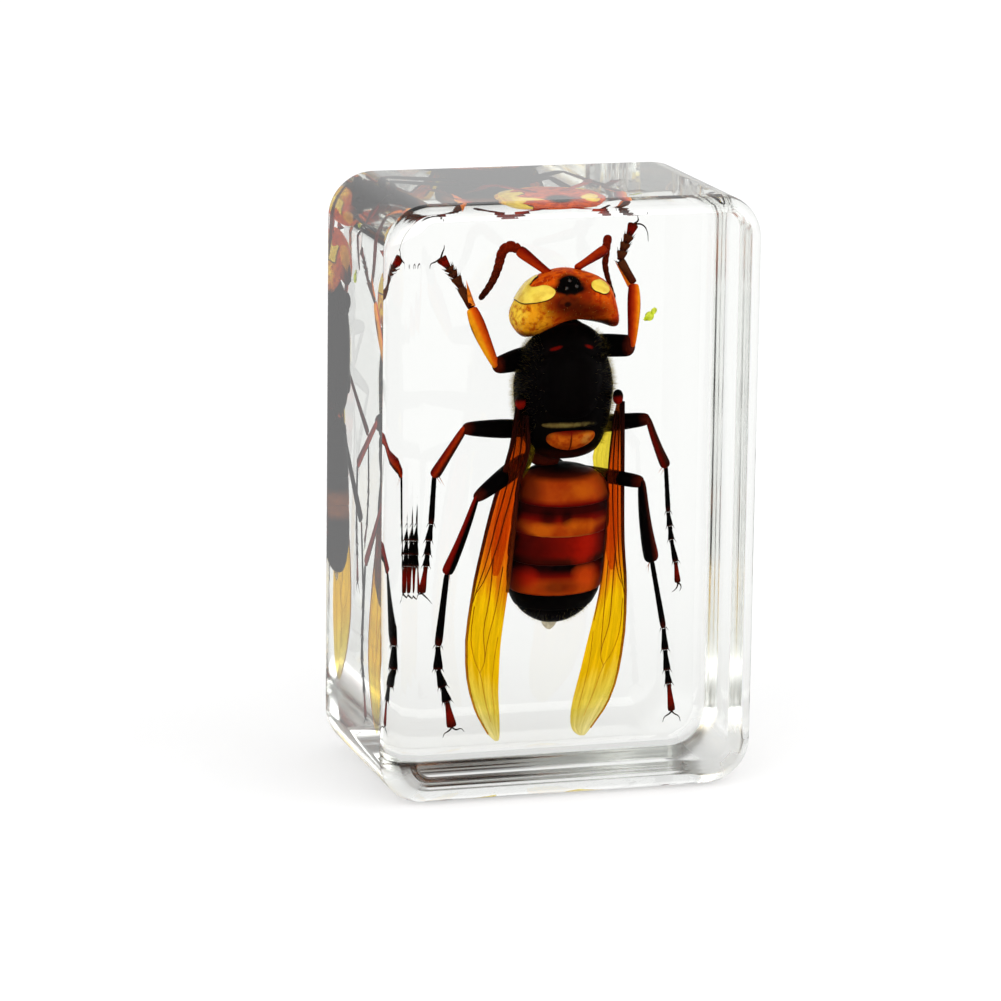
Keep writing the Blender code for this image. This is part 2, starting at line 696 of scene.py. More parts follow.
# The front edge as (width along the surface in mm, lean at its outer end, lean at its inner end), from the
# sides inwards. A lean of 90 degrees is a side of the block and 0 its front face.
FRONT_EDGE_ARCS = (
    (0.12, 88, 72), (0.5, 72, 68), (0.8, 68, 52), (1.1, 52, 38), (0.6, 38, 24),
    (0.6, 18.7, 18.7), (0.6, 14.6, 14.6), (0.5, 10.9, 10.9), (0.3, 9, 0),
)
# The same edge is tighter along the top: the share of its reach down the front that it has there.
TOP_EDGE_SHARE = 0.45
# Share of the edge haze on the front edge, on the back edge and on the corners. The back edge has the greater
# one on the right and below BASE_HEIGHT, and the corners have it below CORNER_HEIGHT, both in mm.
FRONT_EDGE_HAZE = 0.6
BACK_EDGE_HAZE = (0.3, 0.6)
CORNER_HAZE = (0.3, 1.2)
BASE_HEIGHT = 3
CORNER_HEIGHT = 30
# How steeply the haze of the back edge rises, and how far along the front or back edge a corner ends.
BACK_EDGE_RISE = 8
CORNER_END = 0.95


def front_edge(steps):
    """The front edge as (inwards, forwards) moves in metres, from the sides to the front face."""
    moves = []
    for width, outer, inner in FRONT_EDGE_ARCS:
        for step in range(steps):
            lean = math.radians(outer + (inner - outer) * (step + 0.5) / steps)
            moves.append((width * MM / steps * math.cos(lean), width * MM / steps * math.sin(lean)))
    return moves


class SPECIMEN_OT_resin_block(bpy.types.Operator):
    """Model the smooth polished block that stands for the faceted one"""

    bl_idname = "specimen.resin_block"
    bl_label = "Resin Block"

    def execute(self, context):
        settings = context.scene.resin_block_settings
        moves = front_edge(settings.edge_steps)
        rise = sum(forwards for _, forwards in moves)
        low, high = BLOCK_LOW.copy(), BLOCK_HIGH.copy()
        low.y += rise
        bpy.ops.object.select_all(action="DESELECT")
        bpy.ops.mesh.primitive_cube_add(size=1, location=(low + high) / 2, scale=high - low)
        block = bpy.context.object
        settle(block)
        bpy.ops.object.mode_set(mode="EDIT")
        select_where(block, "edges", lambda e: abs(e.verts[0].co.y - e.verts[1].co.y) > (high - low).y / 2)
        bpy.ops.mesh.bevel(offset=settings.corner_radius, segments=settings.corner_steps, affect="EDGES")
        select_where(block, "edges", lambda e: all(v.co.y > high.y - 1e-6 for v in e.verts))
        bpy.ops.mesh.bevel(offset=settings.back_rounding, segments=settings.edge_steps, affect="EDGES")
        select_where(block, "faces", lambda f: f.normal.y < -0.9)
        tall, foot = (high - low).z, low.z
        for inwards, forwards in moves:
            bpy.ops.mesh.inset(thickness=inwards, depth=forwards, use_even_offset=True)
            foot += inwards
            tall -= 2 * inwards
            regained = inwards * (1 - TOP_EDGE_SHARE)
            bpy.ops.transform.resize(value=(1, 1, 1 + regained / tall), center_override=(0, 0, foot))
            tall += regained
        bpy.ops.object.mode_set(mode="OBJECT")
        middle = (high + low) / 2
        flat_half = (high - low) / 2 - Vector((1, 1, 1)) * settings.corner_radius

        def buffed(place):
            """How hazy a place is: 0 on the flat faces, and most in the middle of each edge and corner."""
            front = (low.y - place.y * MM) / rise
            back = (place.y * MM - high.y) / settings.back_rounding + 1
            aside = abs(place.x * MM - middle.x) - flat_half.x
            aloft = abs(place.z * MM - middle.z) - flat_half.z
            flat = aside <= 0 or aloft <= 0 or max(front, back) > CORNER_END
            corner = 0 if flat else math.sin(2 * math.atan2(aloft, aside))
            hazier_back = place.z < BASE_HEIGHT or place.x > 0
            return max(
                0,
                front * (1 - front) * FRONT_EDGE_HAZE,
                min(1, BACK_EDGE_RISE * back * (1 - back)) * BACK_EDGE_HAZE[hazier_back],
                corner * CORNER_HAZE[place.z < CORNER_HEIGHT],
            )

        note(block, "buffed", buffed)
        keep(block, "clear_block", cast_resin(settings.tint, settings.edge_haze), smooth_angle=20)
        apply_modifier(block, "WEIGHTED_NORMAL", weight=100, keep_sharp=False)
        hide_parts("resin_block")
        return {"FINISHED"}


# ---------------------------------------------------------------- the head

# x, y, z of a ring's centre and its half sizes in y and z, in mm, from the left cheek to the right one.
HEAD_RINGS = (
    (-5.3, 1.5, 55.3, 0.9, 0.5),
    (-5.1, 1.5, 55.35, 1.9, 1.1),
    (-4.6, 1.5, 55.4, 2.9, 1.85),
    (-4.1, 1.5, 55.55, 3.5, 2.55),
    (-3.5, 1.5, 55.9, 4.0, 3.1),
    (-2.5, 1.5, 56.35, 4.5, 3.43),
    (-1.1, 1.5, 56.95, 4.8, 3.45),
    (0.6, 1.5, 57.6, 4.95, 3.25),
    (2.3, 1.5, 57.75, 4.9, 2.95),
    (4.0, 1.5, 57.35, 4.6, 2.85),
    (5.5, 1.5, 56.9, 4.1, 2.7),
    (6.5, 1.5, 56.3, 3.3, 2.5),
    (7.1, 1.5, 55.6, 2.5, 2.0),
    (7.55, 1.5, 54.8, 1.6, 1.15),
    (7.8, 1.5, 54.4, 0.7, 0.5),
)
LEFT_EYE = (
    (-5.9, 57.5), (-6.0, 59.0), (-5.0, 60.6), (-3.4, 61.2), (-1.9, 61.0), (-2.1, 60.1), (-2.6, 59.75),
    (-3.05, 59.35), (-3.3, 59.0), (-3.0, 58.92), (-2.5, 59.02), (-1.95, 59.17), (-1.35, 59.1), (-1.0, 58.9),
    (-0.75, 58.6), (-0.95, 58.1), (-1.5, 57.7), (-2.5, 57.4), (-3.6, 57.2), (-4.5, 57.15), (-4.9, 57.4),
)
RIGHT_EYE = (
    (3.7, 59.0), (3.9, 59.35), (4.7, 59.5), (5.3, 59.4), (5.9, 58.95), (6.15, 58.4), (5.9, 58.1), (5.3, 58.0),
    (4.6, 58.25), (3.9, 58.6),
)
OCELLI = ((1.1, 59.6), (0.6, 58.8), (1.8, 59.0))
# Depths in mm between which the head is cut for a rim and for an eye, and how much each is swollen first.
RIM_CUT = (-6, 5.2, 1.012)
EYE_CUT = (-6, 5.0, 1.03)
# How far the rim shows below the eye, in mm.
RIM_DROP = 0.14


def lowered(outline, drop):
    """An outline moved down by that many mm."""
    return [(x, z - drop) for x, z in outline]


class SPECIMEN_OT_head(bpy.types.Operator):
    """Model the head, its eyes, ocelli and mouthparts"""

    bl_idname = "specimen.head"
    bl_label = "Head"

    def execute(self, context):
        tone = context.scene.hornet_settings
        edge_glow, scarlet = linear("#FFD440"), linear("#B42806")
        paint = cuticle(
            "orange_head_cuticle",
            "z",
            [(53, tone.brown), (54.2, tone.head), (61, tone.head)],
            [
                # The golden cheek patch and the lemon patch at the left edge are painted light: the left side
                # of the head lit through its edge.
                (tone.cheek, (-3.6, -1, 55.6), (2.6, 6, 2.5), UPRIGHT, 0.3, 0.95),
                (edge_glow, (-5.3, 0, 56.2), (1.3, 5, 2.0), UPRIGHT, 0.35, 0.95),
                # The three brown patches below are painted shade: at the bottom left and in the middle of the
                # head.
                (tone.brown, (-3.9, -1, 53.0), (1.5, 5, 0.6), UPRIGHT, 0.4, 0.7),
                (tone.brown, (0.7, -3, 57.1), (2.6, 5, 1.6), UPRIGHT, 0.5, 0.9),
                (tone.brown, (3.4, -3, 55.9), (2.6, 5, 1.3), UPRIGHT, 0.5, 0.8),
                (tone.ember, (3.1, -3, 58.6), (0.9, 4, 1.4), UPRIGHT, 0.4, 0.7),
                (scarlet, (7.3, 0, 54.5), (0.9, 5, 1.0), UPRIGHT, 0.4, 0.8),
                (tone.black, (4.4, -1, 54.2), (3.0, 5, 0.7), UPRIGHT, 0.35, 0.95),
                (tone.black, (0.7, -3, 57.0), (0.4, 2, 0.3), UPRIGHT, 0.3, 0.9),
                (tone.black, (1.1, -3, 59.3), (1.55, 4, 1.15), UPRIGHT, 0.2, 1.0),
                (tone.black, (0.95, -3, 58.75), (2.0, 4, 0.6), UPRIGHT, 0.25, 1.0),
            ],
            mottle=0.85,
        )
        head = keep(loft(HEAD_RINGS, 20, "X"), "head_capsule", paint)
        rim = plain_chitin("dark_eye_rim", tone.brown)
        eye = compound_eye(tone.eye)
        for side, outline in (("left", LEFT_EYE), ("right", RIGHT_EYE)):
            keep(cut_from(head, lowered(outline, RIM_DROP), *RIM_CUT), f"eye_rim_{side}", rim, 40)
            keep(cut_from(head, outline, *EYE_CUT), f"compound_eye_{side}", eye, 40)
        lens = plain_chitin("dark_ocellus_lens", linear("#2A1206"), rough=0.15, gloss=0.35)
        for number, (x, z) in enumerate(OCELLI, 1):
            keep(ellipsoid(on_surface(head, x, z), (0.24, 0.2, 0.24)), f"ocellus_{number}", lens)
        self.mouth(tone)
        return {"FINISHED"}

    def mouth(self, tone):
        """The shield and jaws on the far side of the head."""
        paint = cuticle("orange_face_cuticle", "y", [(3, tone.head), (6, tone.cheek), (9, tone.brown)])
        shield = [
            (0.9, 4.4, 59.6, 1.0, 0.7), (0.9, 5.0, 59.0, 2.3, 1.3), (0.9, 5.3, 58.0, 2.9, 1.6),
            (0.9, 5.5, 56.8, 2.5, 1.6), (0.9, 5.6, 56.0, 1.4, 1.1),
        ]
        keep(loft(shield, 16), "clypeus", paint)
        jaw = cuticle("dark_jaw_cuticle", "along", [(0, tone.head), (0.6, tone.brown), (1, tone.black)])
        jaws = {"left": ((-2.0, 5.0, 56.8), (0.8, 8.4, 55.2)), "right": ((3.8, 5.0, 56.8), (1.0, 8.6, 55.4))}
        profile = [
            (0, 0.5, 0.6, 0), (0.15, 1.1, 0.9, 0), (0.5, 0.95, 0.6, 0.2), (0.85, 0.5, 0.35, 0.1),
            (1, 0.12, 0.1, 0),
        ]
        for side, (root, tip) in jaws.items():
            keep(limb(root, tip, profile, levels=2), f"mandible_{side}", jaw)


# ---------------------------------------------------------------- the antennae

# base, scape end, pedicel end, then the route of the flagellum, in mm; and half widths of the scape at its
# ends and of the flagellum at its root and tip.
ANTENNAE = {
    "left": (
        (
            (-0.5, 1.0, 60.0), (-3.8, 4.4, 62.7), (-4.35, 4.6, 63.1), (-5.2, 4.7, 63.1), (-5.8, 4.8, 62.4),
            (-6.0, 4.8, 61.4), (-6.45, 4.8, 60.0), (-7.15, 4.8, 58.6), (-8.4, 4.8, 57.0),
        ),
        (0.42, 0.76, 0.7, 0.4),
    ),
    "right": (
        (
            (2.5, 1.0, 60.7), (6.8, 5.2, 62.3), (7.1, 5.7, 62.9), (7.3, 6.2, 63.6), (7.3, 6.6, 62.8),
            (7.2, 6.6, 61.5), (7.1, 6.6, 60.25), (7.5, 6.6, 58.65), (8.0, 6.6, 57.15), (8.4, 6.6, 56.35),
        ),
        (0.4, 0.7, 0.56, 0.24),
    ),
}
FLAGELLOMERES = 10


class SPECIMEN_OT_antennae(bpy.types.Operator):
    """Model the two elbowed antennae, joint by joint"""

    bl_idname = "specimen.antennae"
    bl_label = "Antennae"

    def execute(self, context):
        tone = context.scene.hornet_settings
        girth = tone.antenna_girth
        bright = cuticle(
            "red_scape_cuticle",
            "side",
            [(-1, tone.shin), (-0.3, tone.shin), (0.4, tone.ember), (1, tone.brown)],
        )
        dull = cuticle(
            "red_brown_flagellum",
            "z",
            [(56, linear("#250C03")), (60, linear("#4E1403")), (64, linear("#791903"))],
        )
        for side, (points, widths) in ANTENNAE.items():
            base, elbow, pedicel, *route = points
            root, rim, thick, thin = [width * girth for width in widths]
            shape = [
                (0, root * 0.8, root * 0.8, 0), (0.05, root * 1.2, root * 1.2, 0), (0.14, root, root, 0),
                (0.6, (root + rim) / 2, root, 0), (0.94, rim, rim * 0.8, 0), (1.02, rim * 0.7, rim * 0.6, 0),
            ]
            keep(limb(base, elbow, shape), f"scape_{side}", bright)
            shape = [
                (-0.2, thick * 0.6, thick * 0.6, 0), (0.3, thick * 0.85, thick * 0.85, 0),
                (0.85, thick * 0.95, thick * 0.95, 0), (1.1, thick * 0.7, thick * 0.7, 0),
            ]
            keep(limb(elbow, pedicel, shape), f"pedicel_{side}", dull)
            places = smooth_path((pedicel, *route), FLAGELLOMERES)
            drums = []
            for number, (start, end) in enumerate(zip(places, places[1:])):
                wide = thick + (thin - thick) * number / (FLAGELLOMERES - 1)
                shape = [
                    (-0.3, wide * 0.5, wide * 0.5, 0), (-0.12, wide * 0.86, wide * 0.86, 0),
                    (0.5, wide, wide, 0), (1.1, wide * 0.9, wide * 0.9, 0), (1.3, wide * 0.5, wide * 0.5, 0),
                ]
                if number == FLAGELLOMERES - 1:
                    shape = shape[:3] + [(0.8, wide * 0.7, wide * 0.7, 0), (1.0, wide * 0.35, wide * 0.35, 0)]
                drums.append(limb(start, end, shape))
            keep(join(drums), f"flagellum_{side}", dull)
        return {"FINISHED"}


# ---------------------------------------------------------------- the thorax

# x, y, z of a ring's centre and its half sizes in x and y, in mm, from the neck down.
THORAX_RINGS = (
    (1.5, 1.6, 54.9, 0.9, 1.1), (1.5, 1.5, 54.2, 2.0, 2.1), (1.4, 1.3, 52.9, 3.6, 3.6),
    (1.3, 1.2, 51.4, 4.6, 4.4), (1.2, 1.2, 49.8, 5.4, 4.9), (1.15, 1.2, 48.0, 5.95, 5.2),
    (1.2, 1.2, 46.0, 6.0, 5.3), (1.2, 1.3, 44.0, 5.7, 5.2), (1.25, 1.4, 42.5, 5.4, 4.9),
    (1.3, 1.5, 41.2, 5.0, 4.5), (1.35, 1.6, 40.1, 4.5, 4.0), (1.35, 1.7, 39.3, 4.0, 3.4),
    (1.35, 1.8, 38.75, 3.2, 2.7), (1.3, 1.8, 38.4, 2.0, 1.7), (1.3, 1.8, 38.3, 1.0, 0.9),
)
COLLAR_RINGS = (
    (1.5, 1.2, 54.6, 1.1, 1.3), (1.5, 1.1, 53.9, 2.7, 2.8), (1.4, 1.0, 52.9, 4.0, 4.0),
    (1.3, 0.9, 51.8, 4.8, 4.6), (1.25, 1.0, 50.9, 5.3, 4.95), (1.25, 1.1, 50.6, 5.0, 4.6),
)
SHIELD_RINGS = (
    (1.2, -0.6, 52.4, 1.2, 1.6), (1.2, -0.6, 51.9, 2.9, 3.0), (1.2, -0.5, 50.5, 4.2, 3.95),
    (1.2, -0.4, 48.2, 4.7, 4.3), (1.2, -0.4, 46.0, 4.6, 4.3), (1.2, -0.4, 44.3, 4.1, 4.0),
    (1.2, -0.3, 43.4, 3.4, 3.5), (1.2, -0.2, 43.1, 2.2, 2.4),
)
SCUTELLUM_RINGS = (
    (1.25, -0.4, 43.5, 3.6, 3.0), (1.25, -0.5, 43.2, 4.4, 3.5), (1.3, -0.4, 42.5, 4.3, 3.3),
    (1.3, -0.3, 42.1, 3.5, 2.7),
)
CRESCENT_RINGS = (
    (1.4, -0.2, 42.35, 3.3, 2.9), (1.4, -0.35, 42.0, 3.75, 3.35), (1.4, -0.3, 41.1, 3.6, 3.25),
    (1.4, -0.15, 40.3, 3.0, 3.0), (1.35, 0.1, 39.7, 1.95, 2.3), (1.35, 0.4, 39.3, 0.8, 1.3),
)
TEGULAE = {"left": (-4.4, -1.1, 45.5), "right": (7.4, -1.1, 45.6)}


class SPECIMEN_OT_thorax(bpy.types.Operator):
    """Model the thorax, its plates and the wing scales"""

    bl_idname = "specimen.thorax"
    bl_label = "Thorax"

    def execute(self, context):
        tone = context.scene.hornet_settings
        black = cuticle(
            "black_thorax_cuticle", "z", [(38, tone.brown), (40, tone.black), (56, tone.black)], pits=0.5
        )
        collar = cuticle(
            "black_collar_cuticle",
            "z",
            [(50, tone.black), (54, tone.black), (56, tone.brown)],
            [
                (tone.ember, (-0.6, -4, 51.9), (0.75, 2, 0.2), (0, -0.28, 0), 0.3, 0.7),
                (tone.ember, (3.4, -4, 51.95), (0.6, 2, 0.22), (0, 0.35, 0), 0.3, 0.8),
            ],
            pits=0.5,
        )
        scutellum = cuticle(
            "black_scutellum_cuticle",
            "z",
            [(42, tone.black), (44, tone.black)],
            [(linear("#8E7C42"), (-0.2, -4, 42.85), (3.2, 3, 0.26), UPRIGHT, 0.5, 0.6)],
        )
        gold = linear("#CC6410")
        crescent = cuticle(
            "orange_crescent_cuticle",
            "z",
            [(38.8, tone.brown), (39.7, tone.flame), (41.6, gold), (42.1, tone.brown), (42.3, tone.black)],
            [
                (tone.tan, (3.3, -3, 41.0), (0.7, 2, 0.6), UPRIGHT, 0.4, 0.6),
                (tone.brown, (1.35, -3, 40.7), (0.11, 3, 2.0), UPRIGHT, 0.15, 0.9),
                (tone.brown, (-1.9, -3, 41.6), (0.9, 3, 0.8), UPRIGHT, 0.5, 0.9),
                (tone.ember, (1.0, -3, 41.9), (1.4, 3, 0.5), UPRIGHT, 0.5, 0.8),
            ],
            mottle=0.7,
        )
        keep(loft(THORAX_RINGS, 20), "mesosoma", black)
        keep(loft(COLLAR_RINGS, 20), "pronotum", collar)
        keep(loft(SHIELD_RINGS, 20), "mesoscutum", black)
        keep(loft(SCUTELLUM_RINGS, 20), "scutellum", scutellum)
        keep(loft(CRESCENT_RINGS, 20), "postscutellum", crescent)
        scale = cuticle(
            "red_tegula_cuticle", "z", [(44.6, tone.ember), (45.4, tone.ember), (45.9, tone.black)]
        )
        for side, place in TEGULAE.items():
            keep(ellipsoid(place, (0.6, 0.85, 0.85)), f"tegula_{side}", scale)
        return {"FINISHED"}


# ---------------------------------------------------------------- the abdomen

# How far the plates lean: their rims stand lower on the back of the insect, which faces the viewer.
ABDOMEN_LEAN = math.radians(9)
ABDOMEN_MIDDLE = Vector((0, 1.4, 29)) * MM
# name, colours as (height of the ring in mm, tone), then rings as in the thorax, all before the lean.
ABDOMEN = (
    (
        "tergite_1",
        (
            (33.8, "brown"), (34.2, "ember"), (34.8, "flame"), (36.7, "flame"), (37.2, "brown"),
            (37.6, "black"),
        ),
        (
            (0.6, 1.5, 37.6, 1.2, 1.1), (0.7, 1.4, 37.4, 2.9, 2.6), (0.85, 1.4, 36.95, 4.2, 3.8),
            (1.0, 1.4, 36.2, 5.1, 4.4), (1.1, 1.4, 35.1, 5.6, 4.65), (1.15, 1.4, 33.95, 5.8, 4.75),
            (1.15, 1.4, 33.85, 5.65, 4.65),
        ),
    ),
    (
        "tergite_2",
        ((30.0, "tan"), (30.5, "flame"), (31.6, "flame"), (32.3, "ember"), (33.1, "coal"), (34, "coal")),
        (
            (1.15, 1.4, 34.6, 5.4, 4.4), (1.15, 1.4, 34.0, 5.65, 4.6), (1.1, 1.4, 32.3, 5.85, 4.75),
            (1.0, 1.4, 30.25, 5.95, 4.8), (1.0, 1.4, 30.1, 5.8, 4.7),
        ),
    ),
    (
        "tergite_3",
        ((26.6, "coal"), (27.3, "brown"), (28.0, "ember"), (30.4, "ember")),
        (
            (1.0, 1.4, 31.0, 5.6, 4.5), (0.95, 1.4, 30.1, 5.85, 4.7), (0.85, 1.4, 28.4, 5.95, 4.8),
            (0.75, 1.4, 26.75, 5.95, 4.8), (0.75, 1.4, 26.65, 5.85, 4.7),
        ),
    ),
    (
        "tergite_4",
        ((22.8, "brown"), (23.2, "flame"), (24.5, "flame"), (25.4, "ember"), (26.5, "coal"), (27, "coal")),
        (
            (0.75, 1.4, 27.4, 5.6, 4.5), (0.75, 1.4, 26.6, 5.85, 4.7), (0.65, 1.4, 24.8, 5.9, 4.75),
            (0.6, 1.4, 22.95, 5.7, 4.6), (0.6, 1.4, 22.85, 5.55, 4.45),
        ),
    ),
    (
        "tergite_5",
        ((20.5, "black"), (23.5, "black")),
        (
            (0.6, 1.4, 23.6, 5.4, 4.4), (0.6, 1.4, 22.8, 5.6, 4.5), (0.55, 1.5, 21.8, 5.25, 4.2),
            (0.6, 1.6, 20.9, 4.75, 3.8), (0.6, 1.6, 20.8, 4.65, 3.7),
        ),
    ),
    (
        "tergite_6",
        ((18.2, "black"), (21.5, "black")),
        (
            (0.6, 1.6, 21.5, 4.2, 3.4), (0.6, 1.6, 20.9, 4.65, 3.7), (0.6, 1.7, 20.0, 3.95, 3.2),
            (0.6, 1.8, 19.2, 2.95, 2.5), (0.6, 1.9, 18.65, 1.9, 1.7), (0.55, 2.0, 18.4, 0.9, 0.9),
        ),
    ),
)


class SPECIMEN_OT_abdomen(bpy.types.Operator):
    """Model the banded abdomen, plate by plate, its under side and the pale tip"""

    bl_idname = "specimen.abdomen"
    bl_label = "Abdomen"

    def execute(self, context):
        tone = context.scene.hornet_settings
        amber, blaze, blood, coal = linear("#C95E09"), linear("#C94108"), linear("#AC1805"), tone.coal
        # Black patches over both edges of the abdomen: painted shade.
        sides = [
            (tone.black, (-6.4, 1.4, 29), (2.6, 9, 14), UPRIGHT, 0.45, 0.9),
            (tone.black, (7.9, 1.4, 29), (2.6, 9, 14), UPRIGHT, 0.45, 0.9),
        ]
        spots_and_highlight = {
            "tergite_1": [
                # The amber patch in the middle of the first plate is a painted highlight.
                (amber, (2.1, -3, 34.9), (1.7, 3, 0.9), UPRIGHT, 0.5, 0.6),
                (coal, (-3.6, -2, 35.0), (1.5, 4, 3.0), UPRIGHT, 0.5, 0.7),
            ],
            "tergite_2": [
                (tone.black, (-1.3, -3, 32.0), (0.9, 3, 0.9), UPRIGHT, 0.4, 0.7),
                (tone.black, (0.9, -3, 31.9), (0.6, 3, 0.9), UPRIGHT, 0.4, 0.7),
                (amber, (-2.2, -3, 30.4), (1.7, 3, 0.7), UPRIGHT, 0.5, 0.7),
                (amber, (2.6, -3, 30.8), (1.5, 3, 0.8), UPRIGHT, 0.5, 0.8),
                (tone.ember, (-5.3, -2, 29.9), (2.4, 4, 1.0), (0, 0.3, 0), 0.3, 0.95),
                (tone.ember, (6.4, -2, 30.1), (2.4, 4, 1.0), (0, -0.3, 0), 0.3, 0.95),
            ],
            "tergite_3": [
                (coal, (-3.0, -2, 28.0), (2.6, 4, 2.2), UPRIGHT, 0.5, 0.7),
                (blood, (3.2, -2.5, 28.4), (1.5, 3, 1.9), UPRIGHT, 0.5, 0.9),
            ],
            "tergite_4": [
                (tone.black, (0.1, -3, 25.8), (3.2, 4, 0.85), UPRIGHT, 0.6, 0.95),
                (blaze, (3.8, -2.5, 24.5), (1.5, 3, 1.2), UPRIGHT, 0.5, 0.8),
                (blood, (-3.9, -2, 24.4), (1.5, 3, 1.1), UPRIGHT, 0.5, 0.8),
                (tone.brown, (0.2, -3, 23.4), (2.0, 3, 0.8), UPRIGHT, 0.5, 0.6),
            ],
        }
        rust = linear("#8E5226")
        belly = cuticle(
            "dark_sternite_cuticle",
            "ring",
            [
                (18, tone.black), (24.8, tone.black), (25.8, rust), (27.6, rust), (28.8, tone.black),
                (38, tone.black),
            ],
        )
        lean = Matrix.Translation(ABDOMEN_MIDDLE) @ Matrix.Rotation(ABDOMEN_LEAN, 4, "X")
        lean = lean @ Matrix.Translation(-ABDOMEN_MIDDLE)
        for name, colours, rings in ABDOMEN:
            stops = [(z, getattr(tone, shade)) for z, shade in colours]
            paint = cuticle(f"banded_{name}", "ring", stops, spots_and_highlight.get(name, []) + sides, 0.4, 2.2, pits=0.15)
            under = [(x, y + 0.6, z, wide * 0.97, deep * 0.97) for x, y, z, wide, deep in rings]
            plates = [(name, rings, paint), (name.replace("tergite", "sternite"), under, belly)]
            for plate, shape, skin in plates:
                piece = loft(shape, 24)
                note(piece, "ring", lambda place: place.z)
                piece.matrix_world = lean
                keep(piece, plate, skin)
        waist = [(-0.8, 1.8, 39.4, 2.3, 1.5), (-1.0, 1.7, 38.5, 1.9, 1.2), (-0.6, 1.5, 37.4, 1.6, 1.2)]
        dark = cuticle("dark_petiole_cuticle", "z", [(38, tone.brown), (40, tone.black)])
        keep(loft(waist, 12), "petiole", dark)
        tip = [
            (0.3, 3.4, 18.7, 1.0, 0.7), (0.3, 3.5, 18.3, 0.95, 0.6), (0.3, 3.5, 17.8, 0.55, 0.45),
            (0.3, 3.5, 17.5, 0.2, 0.2),
        ]
        pale = plain_chitin("pale_sheath_chitin", linear("#F4ECD4"), transmission=0.6, ior=1.1)
        keep(loft(tip, 12), "sting_sheath", pale)
        return {"FINISHED"}


# ---------------------------------------------------------------- the wings

# z, then x and y of the outer edge and of the inner edge, in mm, from the root to the tip.
FOREWINGS = {
    "left": (
        (45.4, -4.7, -1.0, -4.1, -1.4), (43.5, -5.0, -0.9, -3.4, -1.7), (41.0, -5.2, -0.6, -3.1, -1.6),
        (38.8, -5.8, -0.3, -3.5, -1.5), (37.1, -6.3, 0.0, -4.2, -1.3), (34.1, -7.1, 0.4, -4.6, -1.3),
        (31.1, -7.8, 0.9, -4.8, -1.3), (28.1, -8.4, 1.3, -5.1, -1.3), (25.1, -9.0, 1.8, -5.4, -1.4),
        (22.4, -9.3, 2.3, -5.8, -1.4), (19.0, -9.6, 2.9, -6.2, -1.2), (16.6, -9.8, 3.2, -6.5, -1.0),
        (13.0, -9.8, 3.3, -6.5, -0.6), (10.8, -9.5, 3.1, -6.5, 0.0), (8.6, -8.8, 2.8, -6.2, 0.6),
        (6.4, -8.0, 2.5, -6.0, 1.2), (5.1, -7.0, 2.2, -5.9, 1.6), (4.6, -6.4, 2.0, -6.0, 2.0),
    ),
    "right": (
        (45.6, 8.0, -1.0, 7.3, -1.3), (43.0, 8.1, -0.7, 6.8, -1.5), (40.3, 8.3, -0.3, 6.5, -1.4),
        (36.5, 8.4, 0.1, 6.2, -1.3), (32.3, 8.6, 0.6, 6.1, -1.2), (28.3, 8.8, 1.1, 6.15, -1.1),
        (24.2, 9.1, 1.8, 5.75, -1.1), (22.1, 9.4, 2.2, 5.45, -1.2), (19.0, 9.5, 2.8, 4.75, -1.2),
        (16.0, 9.4, 3.2, 4.05, -1.0), (13.0, 9.1, 3.4, 3.5, -0.6), (10.3, 8.5, 3.2, 2.95, 0.2),
        (8.0, 7.4, 2.8, 2.6, 0.9), (6.2, 6.0, 2.5, 2.65, 1.4), (5.1, 5.2, 2.3, 3.1, 1.8),
        (4.6, 4.6, 2.0, 4.0, 2.0),
    ),
}
HINDWINGS = {
    "left": (
        (42.8, -4.6, 0.0, -2.8, -0.6), (41.4, -4.7, 0.2, -2.4, -0.5), (39.5, -5.0, 0.4, -2.2, -0.2),
        (37.0, -5.8, 0.8, -3.2, -0.2), (33.0, -6.6, 1.2, -4.9, 0.4), (29.0, -7.2, 1.7, -5.3, 1.2),
        (26.0, -7.2, 2.1, -5.8, 1.9), (24.5, -6.8, 2.3, -6.2, 2.2),
    ),
    "right": (
        (42.6, 7.6, 0.0, 6.4, -0.4), (41.3, 7.8, 0.2, 5.7, -0.3), (39.5, 7.9, 0.5, 4.7, -0.1),
        (37.5, 8.0, 0.8, 4.5, 0.1), (33.0, 8.1, 1.2, 6.2, 0.5), (29.0, 8.2, 1.6, 6.6, 1.3),
        (26.0, 8.2, 2.0, 6.9, 1.9), (24.5, 8.0, 2.2, 7.4, 2.1),
    ),
}
# How far each column of a wing stands towards the viewer, in mm: the folds of the closed fan.
FOREWING_FOLDS = (0.0, 0.16, -0.05, 0.1, -0.12, 0.08, -0.1, 0.05, 0.0)
HINDWING_FOLDS = (0.0, 0.1, -0.06, 0.08, 0.0)
# Half width in mm at the root and the tip of each vein, then (z, share of the width from the outer edge).
FOREWING_VEINS = (
    (
        0.3,
        0.1,
        ((45, 0.05), (40, 0.05), (34, 0.03), (28, 0.02), (22, 0.0), (14, 0.0), (8.6, 0.0), (5.4, 0.02)),
    ),
    (0.1, 0.05, ((45, 0.35), (38, 0.34), (31, 0.3), (26, 0.22), (23, 0.1), (21, 0.02))),
    (0.1, 0.05, ((44, 0.7), (38, 0.66), (32, 0.58), (27, 0.42), (24, 0.25), (22.5, 0.08))),
    (0.07, 0.04, ((27, 0.42), (22, 0.5), (18, 0.46), (14.5, 0.55), (13.0, 0.42))),
    (0.06, 0.04, ((26, 0.75), (21, 0.72), (17, 0.62), (14.5, 0.55))),
    (0.05, 0.03, ((21, 0.1), (17, 0.12), (14.5, 0.25), (13.0, 0.42), (10, 0.5), (7, 0.55))),
    (0.04, 0.03, ((17.6, 0.9), (14, 0.82), (11, 0.8), (8, 0.8))),
)
